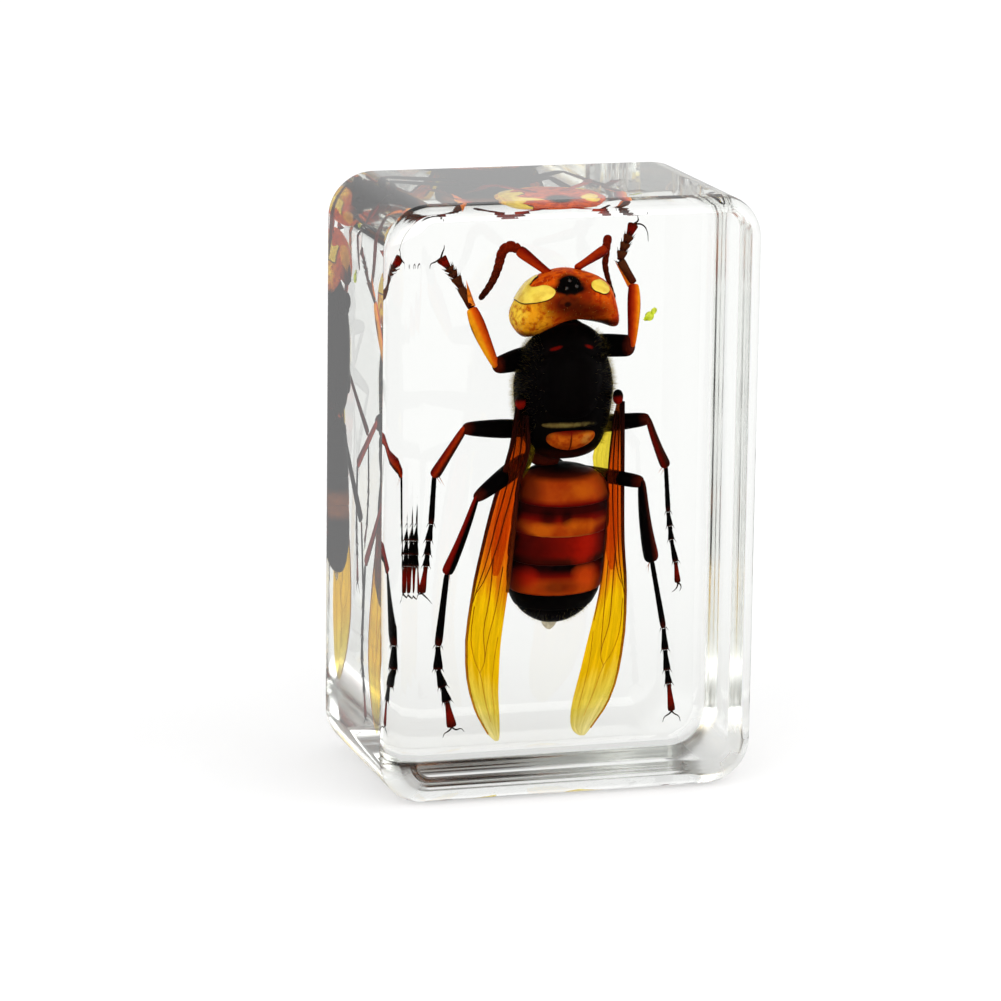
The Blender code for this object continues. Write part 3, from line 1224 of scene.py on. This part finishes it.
INNER_FOLDS = {
    "left": (0.3, 0.2, ((44, 0.9), (40, 0.9), (36, 0.93), (32, 0.95), (28, 0.96), (25, 0.97), (23, 0.98))),
    "right": (0.16, 0.06, ((44, 0.95), (38, 0.95), (30, 0.97), (24, 0.97), (19, 0.96))),
}
# How far the middle of a vein stands out from the membrane, in mm.
VEIN_LIFT = 0.06


def vein_point(rows, z, share):
    """The point in mm just before a wing, at that height and share of its width from the outer edge."""
    for upper, lower in zip(rows, rows[1:]):
        if lower[0] <= z <= upper[0]:
            blend = (upper[0] - z) / (upper[0] - lower[0])
            _, ox, oy, ix, iy = [a + (b - a) * blend for a, b in zip(upper, lower)]
            return (ox + (ix - ox) * share, oy + (iy - oy) * share - VEIN_LIFT, z)
    raise RuntimeError(f"no wing at z {z}")


def wing_sheet(rows, folds, thickness):
    """A pleated sheet: a grid, folded along its columns, whose rows are set to their width and place."""
    columns, last = len(folds) - 1, len(rows) - 1
    bpy.ops.object.select_all(action="DESELECT")
    bpy.ops.mesh.primitive_grid_add(
        x_subdivisions=columns, y_subdivisions=last, size=1, rotation=(math.pi / 2, 0, 0)
    )
    sheet = bpy.context.object
    settle(sheet)
    note(sheet, "across", lambda place: place.x * MM + 0.5)
    bpy.ops.object.mode_set(mode="EDIT")
    for column, fold in enumerate(folds):
        x = column / columns - 0.5
        select_where(sheet, "verts", lambda v: abs(v.co.x - x) < 0.3 / columns)
        bpy.ops.transform.translate(value=(0, -fold * MM, 0))
    verts = bmesh.from_edit_mesh(sheet.data).verts
    heights = [0.5 - row / last for row in range(last + 1)]
    groups = [{v.index for v in verts if abs(v.co.z - height) < 0.3 / last} for height in heights]
    for group, height, (z, ox, oy, ix, iy) in zip(groups, heights, rows):
        select_where(sheet, "verts", lambda v: v.index in group)
        middle = Vector((0, 0, height))
        width = math.copysign(math.hypot(ix - ox, iy - oy), ix - ox)
        bpy.ops.transform.resize(value=(width * MM, 1, 1), center_override=middle)
        turn = -math.atan((iy - oy) / (ix - ox))
        bpy.ops.transform.rotate(value=turn, orient_axis="Z", center_override=middle)
        place = Vector(((ox + ix) / 2, (oy + iy) / 2, z)) * MM
        bpy.ops.transform.translate(value=place - middle)
    face_outwards()
    apply_modifier(sheet, "SUBSURF", levels=1, render_levels=1)
    apply_modifier(sheet, "SOLIDIFY", thickness=thickness, offset=0)
    return sheet


class SPECIMEN_OT_wings(bpy.types.Operator):
    """Model the four folded wings and their veins"""

    bl_idname = "specimen.wings"
    bl_label = "Wings"

    def execute(self, context):
        tone = context.scene.hornet_settings
        film = wing_membrane("amber_forewing_membrane", [
            (4.5, tone.straw), (9, linear("#F9DC50")), (13, tone.amber), (21, tone.amber),
            (25, linear("#F0820A")), (29, tone.smoke), (38, tone.smoke), (44, tone.vein),
        ])
        pale = wing_membrane("yellow_hindwing_membrane", [(24, linear("#F0A818")), (36, linear("#F9E144"))])
        dark = cuticle(
            "dark_vein_cuticle",
            "z",
            [
                (4, linear("#D09018")), (20, linear("#A86408")), (25, tone.vein), (34, tone.brown),
                (46, tone.black),
            ],
            pits=0.0,
        )
        for side, rows in FOREWINGS.items():
            keep(wing_sheet(rows, FOREWING_FOLDS, tone.wing_thickness), f"forewing_{side}", film)
            veins = []
            for wide, thin, places in (*FOREWING_VEINS, INNER_FOLDS[side]):
                points = [vein_point(rows, z, share) for z, share in places]
                radii = [wide + (thin - wide) * number / (len(points) - 1) for number in range(len(points))]
                veins.append(strand(points, radii))
            keep(join(veins), f"forewing_veins_{side}", dark)
        for side, rows in HINDWINGS.items():
            keep(wing_sheet(rows, HINDWING_FOLDS, tone.wing_thickness), f"hindwing_{side}", pale)
        return {"FINISHED"}


# ---------------------------------------------------------------- the legs

# Places in mm: joints are the roots of coxa, trochanter and femur, the knee and the ankle, and tarsus holds
# the ends of its five joints. claws are two routes from the last of them, and spurs (root, tip, half
# thickness). widths are half widths: femur at its root and knee, shin at the knee, middle and ankle, then
# tarsus root and rim. bow is how far the shin bows sideways.
LEGS = {
    "fore_left": {
        "joints": (
            (-0.3, 5.4, 52.4), (-0.9, 5.0, 51.0), (-1.7, 3.8, 50.4), (-7.3, -0.5, 49.8), (-10.0, 1.4, 56.5),
        ),
        "tarsus": (
            (-10.75, 4.0, 58.55), (-11.35, 4.4, 59.8), (-11.75, 4.7, 60.4), (-12.1, 4.9, 60.9),
            (-13.0, 5.2, 62.0),
        ),
        "claws": (
            ((-13.6, 5.2, 61.6), (-14.2, 5.2, 61.3), (-14.3, 5.2, 60.8)),
            ((-12.8, 5.3, 62.6), (-12.6, 5.3, 63.1), (-12.6, 5.3, 63.5)),
        ),
        "widths": (1.35, 1.0, 0.5, 0.98, 0.72, 0.52, 0.72),
        "spurs": (((-9.9, 1.6, 56.6), (-10.35, 2.9, 59.6), 0.5),),
        "bow": -0.1,
    },
    "fore_right": {
        "joints": ((2.9, 5.4, 52.9), (3.6, 5.0, 51.8), (4.4, 3.8, 51.3), (9.1, -0.5, 51.5), (9.6, 1.4, 58.6)),
        "tarsus": (
            (8.1, 2.4, 61.3), (8.4, 2.7, 62.3), (8.85, 3.0, 63.2), (9.3, 3.4, 64.0), (9.95, 4.0, 65.3),
        ),
        "claws": (
            ((11.0, 4.0, 65.2), (11.6, 4.0, 64.5), (11.8, 4.0, 63.2)),
            ((10.5, 4.0, 65.7), (10.5, 4.0, 66.0), (10.4, 4.0, 66.3)),
        ),
        "widths": (1.35, 1.3, 0.5, 0.86, 0.66, 0.58, 0.72),
        "spurs": (((9.3, 1.6, 58.4), (7.5, 2.8, 61.2), 0.46),),
        "bow": 0.12,
    },
    "middle_left": {
        "joints": (
            (-0.6, 5.4, 43.6), (-1.4, 4.6, 42.2), (-2.4, 3.4, 41.7), (-11.0, -0.5, 42.6), (-13.4, 6.0, 36.3),
        ),
        "tarsus": (
            (-13.75, 5.9, 30.5), (-14.1, 5.6, 28.6), (-14.3, 5.2, 27.0), (-14.5, 4.9, 25.7),
            (-15.1, 4.2, 22.6),
        ),
        "claws": (
            ((-15.6, 4.2, 22.4), (-15.7, 4.2, 21.9), (-15.4, 4.1, 21.4)),
            ((-14.7, 4.2, 22.2), (-14.3, 4.2, 21.8), (-13.9, 4.1, 21.3)),
        ),
        "widths": (1.15, 0.8, 0.45, 0.62, 0.72, 0.36, 0.5),
        "spurs": (
            ((-12.9, 6.0, 36.3), (-12.1, 6.1, 34.9), 0.06), ((-13.2, 6.0, 36.2), (-12.5, 6.2, 35.2), 0.06),
        ),
        "bow": 0.0,
    },
    "middle_right": {
        "joints": (
            (3.1, 5.6, 43.4), (3.9, 5.2, 42.0), (4.6, 4.7, 41.6), (11.3, -0.3, 42.7), (14.9, 6.0, 36.1),
        ),
        "tarsus": (
            (15.3, 6.0, 30.5), (15.5, 5.8, 28.8), (15.65, 5.5, 27.2), (16.1, 4.8, 24.6), (16.2, 3.8, 22.2),
        ),
        "claws": (
            ((16.2, 3.8, 21.9), (15.9, 3.8, 21.4), (15.5, 3.8, 21.1)),
            ((16.5, 3.8, 22.0), (16.6, 3.7, 21.6), (16.4, 3.7, 21.2)),
        ),
        "widths": (1.05, 0.8, 0.38, 0.55, 0.68, 0.32, 0.42),
        "spurs": (((14.6, 6.0, 36.1), (13.9, 6.1, 35.2), 0.06), ((14.8, 6.0, 35.9), (14.3, 6.3, 34.9), 0.06)),
        "bow": 0.1,
    },
    "hind_left": {
        "joints": (
            (-0.7, 5.4, 41.6), (-1.4, 5.0, 39.6), (-2.2, 4.4, 38.2), (-10.0, -3.6, 34.8), (-12.3, 3.0, 25.0),
        ),
        "tarsus": (
            (-13.2, 3.5, 16.2), (-13.2, 3.4, 13.4), (-12.6, 3.3, 11.3), (-12.1, 3.2, 9.5), (-11.5, 3.0, 6.4),
        ),
        "claws": (
            ((-11.9, 3.0, 6.0), (-12.4, 3.0, 5.7), (-12.6, 3.0, 5.2)),
            ((-11.0, 3.0, 6.1), (-10.4, 3.0, 6.2), (-10.0, 3.0, 5.8)),
        ),
        "widths": (1.15, 0.75, 0.38, 0.64, 0.78, 0.42, 0.66),
        "spurs": (
            ((-12.0, 3.0, 25.1), (-11.9, 3.1, 23.5), 0.06), ((-12.2, 3.0, 25.0), (-12.3, 3.3, 23.8), 0.06),
        ),
        "bow": -0.15,
    },
    "hind_right": {
        "joints": (
            (-0.2, 5.0, 40.5), (0.0, 5.4, 38.2), (2.4, 5.2, 36.5), (10.3, -2.0, 35.45), (13.1, 4.7, 25.0),
        ),
        "tarsus": (
            (14.7, 4.5, 16.6), (14.9, 4.3, 14.0), (15.15, 4.1, 11.5), (15.35, 3.9, 9.9), (15.7, 3.5, 6.6),
        ),
        "claws": (
            ((15.4, 3.5, 6.3), (14.8, 3.5, 5.9), (14.6, 3.5, 5.3)),
            ((16.0, 3.5, 6.3), (16.6, 3.5, 5.9), (16.8, 3.5, 5.3)),
        ),
        "widths": (0.85, 0.84, 0.52, 0.82, 0.98, 0.36, 0.5),
        "spurs": (((12.8, 4.7, 25.0), (12.7, 4.9, 23.3), 0.07), ((13.0, 4.7, 24.9), (12.4, 5.1, 23.8), 0.06)),
        "bow": 0.2,
    },
}


class SPECIMEN_OT_legs(bpy.types.Operator):
    """Model the six legs, joint by joint, with their spurs, spines and claws"""

    bl_idname = "specimen.legs"
    bl_label = "Legs"

    def execute(self, context):
        tone = context.scene.hornet_settings
        black = cuticle(
            "black_femur_cuticle", "along", [(0, tone.black), (0.88, tone.black), (1, tone.brown)]
        )
        gold, blaze = linear("#ED9812"), linear("#D95A06")
        # Colours across each shin, from -1 to 1: the shins' own red-orange, with a painted glow of light
        # through them, gold on the fore legs, and painted shade towards their edges.
        shins = {
            "fore_left": (
                (-1, tone.brown), (-0.85, gold), (-0.45, gold), (-0.1, blaze), (0.5, tone.shin),
                (1, tone.brown),
            ),
            "fore_right": (
                (-1, tone.brown), (-0.6, tone.ember), (-0.1, tone.shin), (0.3, blaze), (0.75, gold),
                (1, tone.flame),
            ),
            "middle_left": (
                (-1, tone.black), (-0.3, tone.brown), (0.2, tone.shin), (0.7, tone.ember), (1, tone.brown),
            ),
            "middle_right": ((-1, tone.black), (0, tone.brown), (0.5, tone.ember), (1, tone.brown)),
            "hind_left": ((-1, tone.black), (-0.1, tone.black), (0.3, tone.ember), (1, tone.ember)),
            "hind_right": ((-1, tone.ember), (-0.4, tone.brown), (0.1, tone.black), (1, tone.black)),
        }
        foot = cuticle("dark_tarsus_cuticle", "along", [(0, tone.black), (0.85, tone.black), (1, tone.brown)])
        umber = linear("#4A2410")
        paw = cuticle(
            "brown_tarsus_cuticle", "along", [(0, tone.brown), (0.6, umber), (0.9, umber), (1, tone.black)]
        )
        toe = cuticle("red_toe_cuticle", "along", [(0, tone.brown), (0.5, tone.ember), (1, tone.brown)])
        horn = plain_chitin("dark_claw_chitin", linear("#2A160C"), rough=0.25)
        spur = plain_chitin("orange_spur_chitin", linear("#E87818"), rough=0.3)
        for name, leg in LEGS.items():
            coxa, trochanter, hip, knee, ankle = leg["joints"]
            root, end, shin_top, shin_middle, shin_end, foot_root, foot_rim = [
                width * tone.limb_girth for width in leg["widths"]
            ]
            shape = [
                (-0.1, root * 0.6, root * 0.6, 0), (0.3, root * 1.05, root, 0),
                (1.0, root * 0.8, root * 0.8, 0),
            ]
            keep(limb(coxa, trochanter, shape, levels=2), f"coxa_{name}", black)
            shape = [
                (-0.1, root * 0.6, root * 0.6, 0), (0.5, root * 0.75, root * 0.7, 0),
                (1.1, root * 0.6, root * 0.6, 0),
            ]
            keep(limb(trochanter, hip, shape, levels=2), f"trochanter_{name}", black)
            shape = [
                (-0.02, root * 0.5, root * 0.5, 0), (0.08, root * 0.85, root * 0.8, 0),
                (0.35, root * 1.05, root * 0.95, 0), (0.75, (root + end) * 0.5, (root + end) * 0.45, 0),
                (0.96, end, end * 0.9, 0), (1.02, end * 0.6, end * 0.6, 0),
            ]
            keep(limb(hip, knee, shape, levels=2), f"femur_{name}", black)
            shape = [
                (-0.03, shin_top * 0.7, shin_top * 0.7, 0), (0.04, shin_top, shin_top, 0),
                (0.35, (shin_top + shin_middle) / 2, shin_middle * 0.8, leg["bow"]),
                (0.7, shin_middle, shin_middle * 0.85, leg["bow"]),
                (0.95, shin_end, shin_end * 0.85, 0), (1.0, shin_end * 0.8, shin_end * 0.7, 0),
            ]
            paint = cuticle(f"{name}_shin_cuticle", "side", shins[name], mottle=0.25)
            keep(limb(knee, ankle, shape, levels=2), f"tibia_{name}", paint)
            sole = paw if name.startswith("fore") else foot
            self.foot(name, ankle, leg, (foot_root, foot_rim), (sole, toe, horn, spur))
        return {"FINISHED"}

    def foot(self, name, ankle, leg, widths, paints):
        """The tarsus: four flared joints with spiny rims, a last red one, claws and the shin's spurs."""
        root, rim = widths
        dark, red, horn, spur = paints
        joints = []
        prickles = []
        places = [Vector(ankle)] + [Vector(place) for place in leg["tarsus"]]
        for number, (start, end) in enumerate(zip(places, places[1:])):
            wide = rim * (1.0 if number else 0.8)
            top = root * (0.7 if number else 0.85)
            shape = [
                (0, top * 0.8, top * 0.8, 0), (0.06, top, top, 0),
                (0.45, (top + wide) * 0.42, (top + wide) * 0.36, 0), (0.92, wide, wide * 0.8, 0),
                (1.0, wide * 0.75, wide * 0.65, 0),
            ]
            part = limb(start, end, shape, levels=2)
            if end == places[-1]:
                keep(part, f"tarsus_tip_{name}", red)
                continue
            joints.append(part)
            forward = (end - start).normalized()
            across = Vector((0, 1, 0)).cross(forward).normalized()
            deep = forward.cross(across)
            for turn in range(6):
                angle = math.radians(60 * turn + 12)
                out = across * math.cos(angle) + deep * math.sin(angle)
                base = end - forward * 0.15 + out * wide * 0.75
                prickles.append((base, base + forward * 0.55 + out * 0.28, 0.07))
            steps = 2 if number else 5
            for step in range(1, steps):
                for out in (-across, across):
                    base = start.lerp(end, step / steps) + out * top * 0.7
                    prickles.append((base, base + forward * 0.3 + out * 0.22, 0.045))
        keep(join(joints), f"tarsus_{name}", dark)
        keep(spines(prickles), f"spines_{name}", horn)
        keep(spines(leg["spurs"]), f"spurs_{name}", spur)
        hooks = [strand((places[-1], *points), (0.12, 0.1, 0.06, 0.03), 4) for points in leg["claws"]]
        keep(join(hooks), f"claws_{name}", horn)


# ---------------------------------------------------------------- hair and specks


def fur(name, carrier, material, density, hair_length, girth, fade, seed):
    """Hair scattered over a piece by geometry nodes, and made real mesh.

    density is hairs per square mm. fade holds the distances in mm from the piece's middle line between
    which the hair thickens, and the middle line's x.
    """
    half = hair_length / 2
    bpy.ops.mesh.primitive_cone_add(
        vertices=3, radius1=girth, radius2=0, depth=hair_length, location=(0, 0, half)
    )
    hair = bpy.context.object
    settle(hair)
    tree = bpy.data.node_groups.new(name, "GeometryNodeTree")
    tree.interface.new_socket("Geometry", in_out="OUTPUT", socket_type="NodeSocketGeometry")
    near, far, middle = fade
    place = add_node(tree, "ShaderNodeSeparateXYZ", {0: add_node(tree, "GeometryNodeInputPosition")})
    offset = add_node(tree, "ShaderNodeMath", {0: place.outputs["X"], 1: middle * MM}, operation="SUBTRACT")
    distance = add_node(tree, "ShaderNodeMath", {0: offset}, operation="ABSOLUTE")
    thick = add_node(
        tree,
        "ShaderNodeMapRange",
        {"Value": distance, "From Min": near * MM, "From Max": far * MM, "To Max": density / MM**2},
    )
    skin = add_node(tree, "GeometryNodeObjectInfo", {"Object": carrier})
    points = add_node(
        tree,
        "GeometryNodeDistributePointsOnFaces",
        {"Mesh": skin.outputs["Geometry"], "Density": thick, "Seed": seed},
    )
    stray = add_node(
        tree,
        "FunctionNodeRandomValue",
        {"Min": (-0.5, -0.5, -0.5), "Max": (0.5, 0.5, 0.5), "Seed": seed},
        data_type="FLOAT_VECTOR",
    )
    lean = add_node(tree, "ShaderNodeVectorMath", {0: points.outputs["Normal"], 1: stray}, operation="ADD")
    turn = add_node(tree, "FunctionNodeAlignRotationToVector", {"Vector": lean}, axis="Z")
    tall = add_node(tree, "FunctionNodeRandomValue", {2: 0.5, 3: 1.2, "Seed": seed + 1}, data_type="FLOAT")
    one = add_node(tree, "GeometryNodeObjectInfo", {"Object": hair}).outputs["Geometry"]
    copies = add_node(
        tree,
        "GeometryNodeInstanceOnPoints",
        {"Points": points, "Instance": one, "Rotation": turn, "Scale": tall.outputs[1]},
    )
    real = add_node(tree, "GeometryNodeRealizeInstances", {0: copies})
    add_node(tree, "NodeGroupOutput", {0: real})
    bpy.ops.mesh.primitive_plane_add(size=MM)
    coat = bpy.context.object
    apply_modifier(coat, "NODES", node_group=tree)
    bpy.data.objects.remove(hair)
    return keep(coat, name, material, 180)


# Piece, hairs per square mm, share of the hair length, and how the hair thickens, as fur() takes it.
COATS = (
    ("mesosoma", 26, 1.0, (3.8, 6.0, 1.2)),
    ("pronotum", 30, 0.9, (2.8, 5.0, 1.3)),
    ("mesoscutum", 4, 0.5, (2.6, 4.6, 1.2)),
    ("head_capsule", 3, 0.35, (-1.0, 5.0, 0.8)),
    ("tergite_6", 8, 0.5, (-1.0, 2.0, 0.0)),
)
FIRST_SEED = 11


class SPECIMEN_OT_hair(bpy.types.Operator):
    """Model the hair of the thorax, the head and the tail"""

    bl_idname = "specimen.hair"
    bl_label = "Hair"

    def execute(self, context):
        tone = context.scene.hornet_settings
        gold = plain_chitin("golden_body_hair", tone.hair, transmission=0.92, ior=1.05)
        for seed, (name, density, share, fade) in enumerate(COATS, FIRST_SEED):
            carrier = bpy.data.objects[name]
            fur(f"hair_{name}", carrier, gold, density, tone.hair_length * share, tone.hair_girth, fade, seed)
        return {"FINISHED"}


class SPECIMEN_OT_specks(bpy.types.Operator):
    """Model the yellow-green flake that is cast in beside the head"""

    bl_idname = "specimen.specks"
    bl_label = "Flake"

    def execute(self, context):
        pollen = plain_chitin("yellow_green_flake", linear("#F4FF58"), rough=0.5, transmission=0.85, ior=1.1)
        crumbs = [
            ellipsoid((11.7, 2.0, 54.6), (0.62, 0.2, 0.55), (0.2, 0.3, 0.4)),
            ellipsoid((12.2, 1.9, 55.2), (0.34, 0.14, 0.42), (0.1, 0.7, 0.2)),
            ellipsoid((11.3, 2.1, 54.3), (0.3, 0.16, 0.28), (0.5, 0.1, 0.3)),
        ]
        keep(join(crumbs), "resin_flake", pollen)
        return {"FINISHED"}


# ---------------------------------------------------------------- the stage

# How the camera is turned, tipped and rolled, and where it stands from the middle of the block.
CAMERA_YAW = math.radians(-16.56)
CAMERA_PITCH = math.radians(12.60)
CAMERA_ROLL = math.radians(0.74)
CAMERA_DISTANCE = 586.5 * MM
AIM_RIGHT = -4.61 * MM
AIM_UP = -2.72 * MM
CAMERA_LENS = 179.7
CAMERA_SENSOR = 36
# A gap that keeps the floor's surface apart from the base of the block.
FLOOR_GAP = 0.2 * MM
# The light's heights as the upward share of a direction, and their span on its scale from 0 to 1: where the
# table ends and the lights begin, where the front light ends, and where the wall starts and ends its curve.
HEIGHT_SPAN = (-0.1, 0.9)
TABLE_END = 0.09
LIGHT_START = 0.13
FRONT_END = 0.7
CURVE_START = 0.38
CURVE_BRIGHT = 0.48
CURVE_END = 0.6
# Where the dim ceiling takes over from the curved wall, on the left and on the right.
LEFT_CEILING = 0.68
RIGHT_CEILING = 0.99
# The sideways shares of a direction between which left turns into right, and front into back.
LEFT_TO_RIGHT = (0.281, 0.289)
FRONT_TO_BACK = (-0.35, 0.25)


def stage_light(settings):
    """A plain studio world: soft light in front, dark below it, and a pale wall behind that curves over.

    The wall shines brighter where it curves over. On the left a dim ceiling takes over from there, and on
    the right the wall goes on.
    """
    world = bpy.data.worlds.new("studio")
    bpy.context.scene.world = world
    world.use_nodes = True
    tree = world.node_tree
    tree.nodes.clear()
    way = add_node(tree, "ShaderNodeTexCoord").outputs["Generated"]
    split = add_node(tree, "ShaderNodeSeparateXYZ", {0: way}).outputs

    def span(direction, ends):
        """A node that runs from 0 to 1 between two shares of a direction."""
        return add_node(
            tree, "ShaderNodeMapRange", {"Value": split[direction], "From Min": ends[0], "From Max": ends[1]}
        )

    height = span("Z", HEIGHT_SPAN)
    overhead, front, back, cove, table, gloom = [
        (getattr(settings, name),) * 3 for name in ("overhead", "front", "back", "cove", "table", "gloom")
    ]
    # The first two stops of each ramp are its ends.
    lamp = [(0, gloom), (1, overhead), (TABLE_END, gloom), (LIGHT_START, front), (FRONT_END, front)]
    wall = [(0, table), (1, overhead), (TABLE_END, table), (LIGHT_START, back), (CURVE_START, back)]
    wall += [(CURVE_BRIGHT, cove), (CURVE_END, cove)]
    left = [*wall, (LEFT_CEILING, overhead)]
    right = [*wall, (RIGHT_CEILING, cove)]
    ahead, on_left, on_right = [
        add_node(tree, "ShaderNodeValToRGB", {0: height}, stops) for stops in (lamp, left, right)
    ]
    behind = add_node(
        tree,
        "ShaderNodeMix",
        {"Factor": span("X", LEFT_TO_RIGHT), "A": on_left, "B": on_right},
        data_type="RGBA",
    ).outputs["Result"]
    both = add_node(
        tree, "ShaderNodeMix", {"Factor": span("Y", FRONT_TO_BACK), "A": ahead, "B": behind}, data_type="RGBA"
    ).outputs["Result"]
    glow = add_node(tree, "ShaderNodeBackground", {"Color": both})
    add_node(tree, "ShaderNodeOutputWorld", {"Surface": glow})


class SPECIMEN_OT_stage(bpy.types.Operator):
    """Set up the floor, the studio light and the camera"""

    bl_idname = "specimen.stage"
    bl_label = "Stage"

    def execute(self, context):
        settings = context.scene.stage_settings
        bpy.ops.object.select_all(action="DESELECT")
        bpy.ops.mesh.primitive_plane_add(size=settings.floor_width, location=(0, 0, -FLOOR_GAP))
        floor = bpy.context.object
        settle(floor)
        floor.name = "floor"
        floor.data.materials.append(matt_floor(settings.floor, settings.glow))
        floor.visible_glossy = False
        stage_light(settings)
        self.camera(context)
        scene = context.scene
        scene.view_settings.view_transform = "Standard"
        scene.cycles.max_bounces = 24
        scene.cycles.transmission_bounces = 24
        scene.cycles.glossy_bounces = 16
        scene.cycles.diffuse_bounces = 3
        scene.cycles.use_denoising = True
        return {"FINISHED"}

    def camera(self, context):
        """The camera, turned, tipped and rolled as the picture was taken."""
        turned = Matrix.Rotation(CAMERA_YAW, 3, "Z") @ Matrix.Rotation(math.pi / 2 - CAMERA_PITCH, 3, "X")
        right, up, back = turned.col
        middle = (BLOCK_LOW + BLOCK_HIGH) / 2
        place = middle + right * AIM_RIGHT + up * AIM_UP + back * CAMERA_DISTANCE
        rolled = turned @ Matrix.Rotation(CAMERA_ROLL, 3, "Z")
        bpy.ops.object.camera_add(location=place, rotation=rolled.to_euler())
        camera = bpy.context.object
        camera.data.lens = CAMERA_LENS
        camera.data.sensor_width = CAMERA_SENSOR
        camera.data.clip_start = 0.01
        camera.data.clip_end = 50
        context.scene.camera = camera


class SPECIMEN_PT_build(bpy.types.Panel):
    """Lists the building steps and their settings"""

    bl_label = "Insect in Resin Block"
    bl_idname = "SPECIMEN_PT_build"
    bl_space_type = "VIEW_3D"
    bl_region_type = "UI"
    bl_category = "Specimen"

    def draw(self, context):
        for step in STEPS:
            self.layout.operator(step.bl_idname)
        for name in SETTINGS:
            group = getattr(context.scene, name)
            for key in group.__annotations__:
                self.layout.prop(group, key)


SETTINGS = {
    "resin_block_settings": ResinBlockSettings,
    "hornet_settings": HornetSettings,
    "stage_settings": StageSettings,
}
STEPS = (
    SPECIMEN_OT_resin_block,
    SPECIMEN_OT_head,
    SPECIMEN_OT_antennae,
    SPECIMEN_OT_thorax,
    SPECIMEN_OT_abdomen,
    SPECIMEN_OT_wings,
    SPECIMEN_OT_legs,
    SPECIMEN_OT_hair,
    SPECIMEN_OT_specks,
    SPECIMEN_OT_stage,
)


def register():
    """Adds the settings, the steps and the panel."""
    for kind in (*SETTINGS.values(), *STEPS, SPECIMEN_PT_build):
        bpy.utils.register_class(kind)
    for name, kind in SETTINGS.items():
        setattr(bpy.types.Scene, name, PointerProperty(type=kind))


def unregister():
    """Takes them away again."""
    for name in SETTINGS:
        delattr(bpy.types.Scene, name)
    for kind in (SPECIMEN_PT_build, *STEPS, *SETTINGS.values()):
        bpy.utils.unregister_class(kind)


def main():
    """Builds every piece and the stage."""
    register()
    bpy.ops.specimen.resin_block()
    bpy.ops.specimen.head()
    bpy.ops.specimen.antennae()
    bpy.ops.specimen.thorax()
    bpy.ops.specimen.abdomen()
    bpy.ops.specimen.wings()
    bpy.ops.specimen.legs()
    bpy.ops.specimen.hair()
    bpy.ops.specimen.specks()
    bpy.ops.specimen.stage()


if __name__ == "__main__":
    main()
